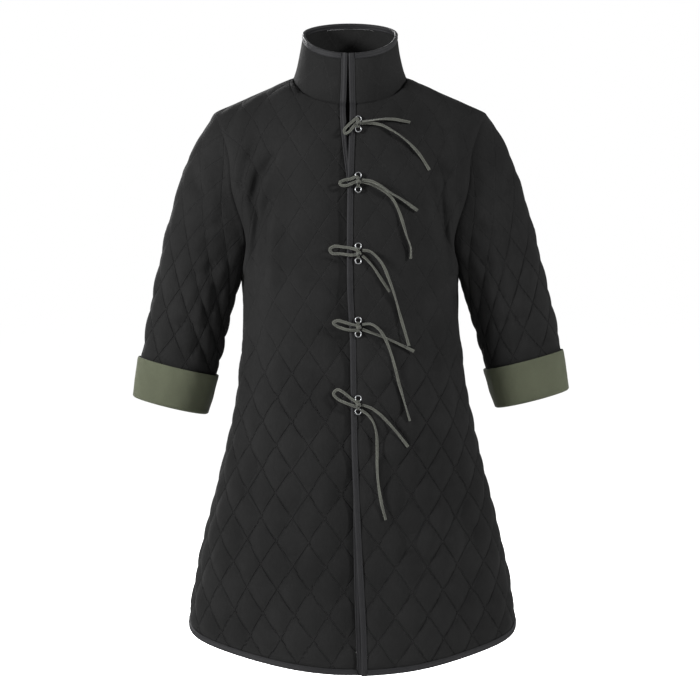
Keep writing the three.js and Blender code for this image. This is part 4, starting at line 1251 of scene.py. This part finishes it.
def colour_property(name, description, hex_colour):
    return bpy.props.FloatVectorProperty(name=name, description=description, subtype="COLOR", size=3,
                                         min=0.0, max=1.0, default=linear(hex_colour))


class GambesonColours(bpy.types.PropertyGroup):
    """Base colours of the cloths, laces and metal."""

    quilt: colour_property("Quilting", "Brushed cotton of the body, sleeves and collar", "0d0d0d")
    binding: colour_property("Binding", "Bias tape round the edges", "0d0d0e")
    cuff: colour_property("Cuffs", "Canvas of the turned-back cuffs", "272920")
    lace: colour_property("Laces", "Flat woven cotton", "272823")
    metal: colour_property("Eyelets", "Nickel plating", "6c6d6e")


class GAMBESON_OT_stage(bpy.types.Operator):
    """Add the camera, the lights and the floor"""

    bl_idname = "gambeson.stage"
    bl_label = "Stage"

    def execute(self, context):
        build_stage()
        return {"FINISHED"}


class GAMBESON_OT_lace_ends(bpy.types.Operator):
    """Build the laces' free ends"""

    bl_idname = "gambeson.lace_ends"
    bl_label = "Lace ends"

    def execute(self, context):
        build_lace_ends(context.scene.gambeson_sizes)
        return {"FINISHED"}


class GAMBESON_OT_bows(bpy.types.Operator):
    """Build the loops, the knots and the crossed strands"""

    bl_idname = "gambeson.bows"
    bl_label = "Bows"

    def execute(self, context):
        build_bows(context.scene.gambeson_sizes)
        return {"FINISHED"}


class GAMBESON_OT_eyelets(bpy.types.Operator):
    """Build the metal rings and the dark holes in them"""

    bl_idname = "gambeson.eyelets"
    bl_label = "Eyelets"

    def execute(self, context):
        build_eyelets()
        return {"FINISHED"}


class GAMBESON_OT_fronts(bpy.types.Operator):
    """Build the two quilted fronts"""

    bl_idname = "gambeson.fronts"
    bl_label = "Fronts"

    def execute(self, context):
        build_fronts(context.scene.gambeson_sizes)
        return {"FINISHED"}


class GAMBESON_OT_back(bpy.types.Operator):
    """Build the quilted back"""

    bl_idname = "gambeson.back"
    bl_label = "Back"

    def execute(self, context):
        build_back(context.scene.gambeson_sizes)
        return {"FINISHED"}


class GAMBESON_OT_collar(bpy.types.Operator):
    """Build the standing collar"""

    bl_idname = "gambeson.collar"
    bl_label = "Collar"

    def execute(self, context):
        build_collar(context.scene.gambeson_sizes)
        return {"FINISHED"}


class GAMBESON_OT_sleeves(bpy.types.Operator):
    """Build the quilted sleeves"""

    bl_idname = "gambeson.sleeves"
    bl_label = "Sleeves"

    def execute(self, context):
        build_sleeves(context.scene.gambeson_sizes)
        return {"FINISHED"}


class GAMBESON_OT_cuffs(bpy.types.Operator):
    """Build the turned-back cuffs"""

    bl_idname = "gambeson.cuffs"
    bl_label = "Cuffs"

    def execute(self, context):
        build_cuffs()
        return {"FINISHED"}


class GAMBESON_OT_bindings(bpy.types.Operator):
    """Build the taped edges, after the fronts, the back and the collar"""

    bl_idname = "gambeson.bindings"
    bl_label = "Bindings"

    def execute(self, context):
        build_bindings()
        return {"FINISHED"}


# in the order that main calls them
OPERATORS = (GAMBESON_OT_stage, GAMBESON_OT_lace_ends, GAMBESON_OT_bows, GAMBESON_OT_eyelets,
             GAMBESON_OT_fronts, GAMBESON_OT_back, GAMBESON_OT_collar, GAMBESON_OT_sleeves,
             GAMBESON_OT_cuffs, GAMBESON_OT_bindings)


class GAMBESON_PT_pieces(bpy.types.Panel):
    """Lists the sizes, colours and pieces of the gambeson."""

    bl_label = "Gambeson"
    bl_space_type = "VIEW_3D"
    bl_region_type = "UI"
    bl_category = "Gambeson"

    def draw(self, context):
        for group in (context.scene.gambeson_sizes, context.scene.gambeson_colours):
            for key in group.__annotations__:
                self.layout.prop(group, key)
        for kind in OPERATORS:
            self.layout.operator(kind.bl_idname)


CLASSES = (GambesonSizes, GambesonColours, *OPERATORS, GAMBESON_PT_pieces)


def register():
    for kind in CLASSES:
        bpy.utils.register_class(kind)
    bpy.types.Scene.gambeson_sizes = bpy.props.PointerProperty(type=GambesonSizes)
    bpy.types.Scene.gambeson_colours = bpy.props.PointerProperty(type=GambesonColours)


def unregister():
    del bpy.types.Scene.gambeson_sizes
    del bpy.types.Scene.gambeson_colours
    for kind in reversed(CLASSES):
        bpy.utils.unregister_class(kind)


def main():
    register()
    for kind in OPERATORS:
        getattr(bpy.ops.gambeson, kind.bl_idname.split(".")[1])()


if __name__ == "__main__":
    main()
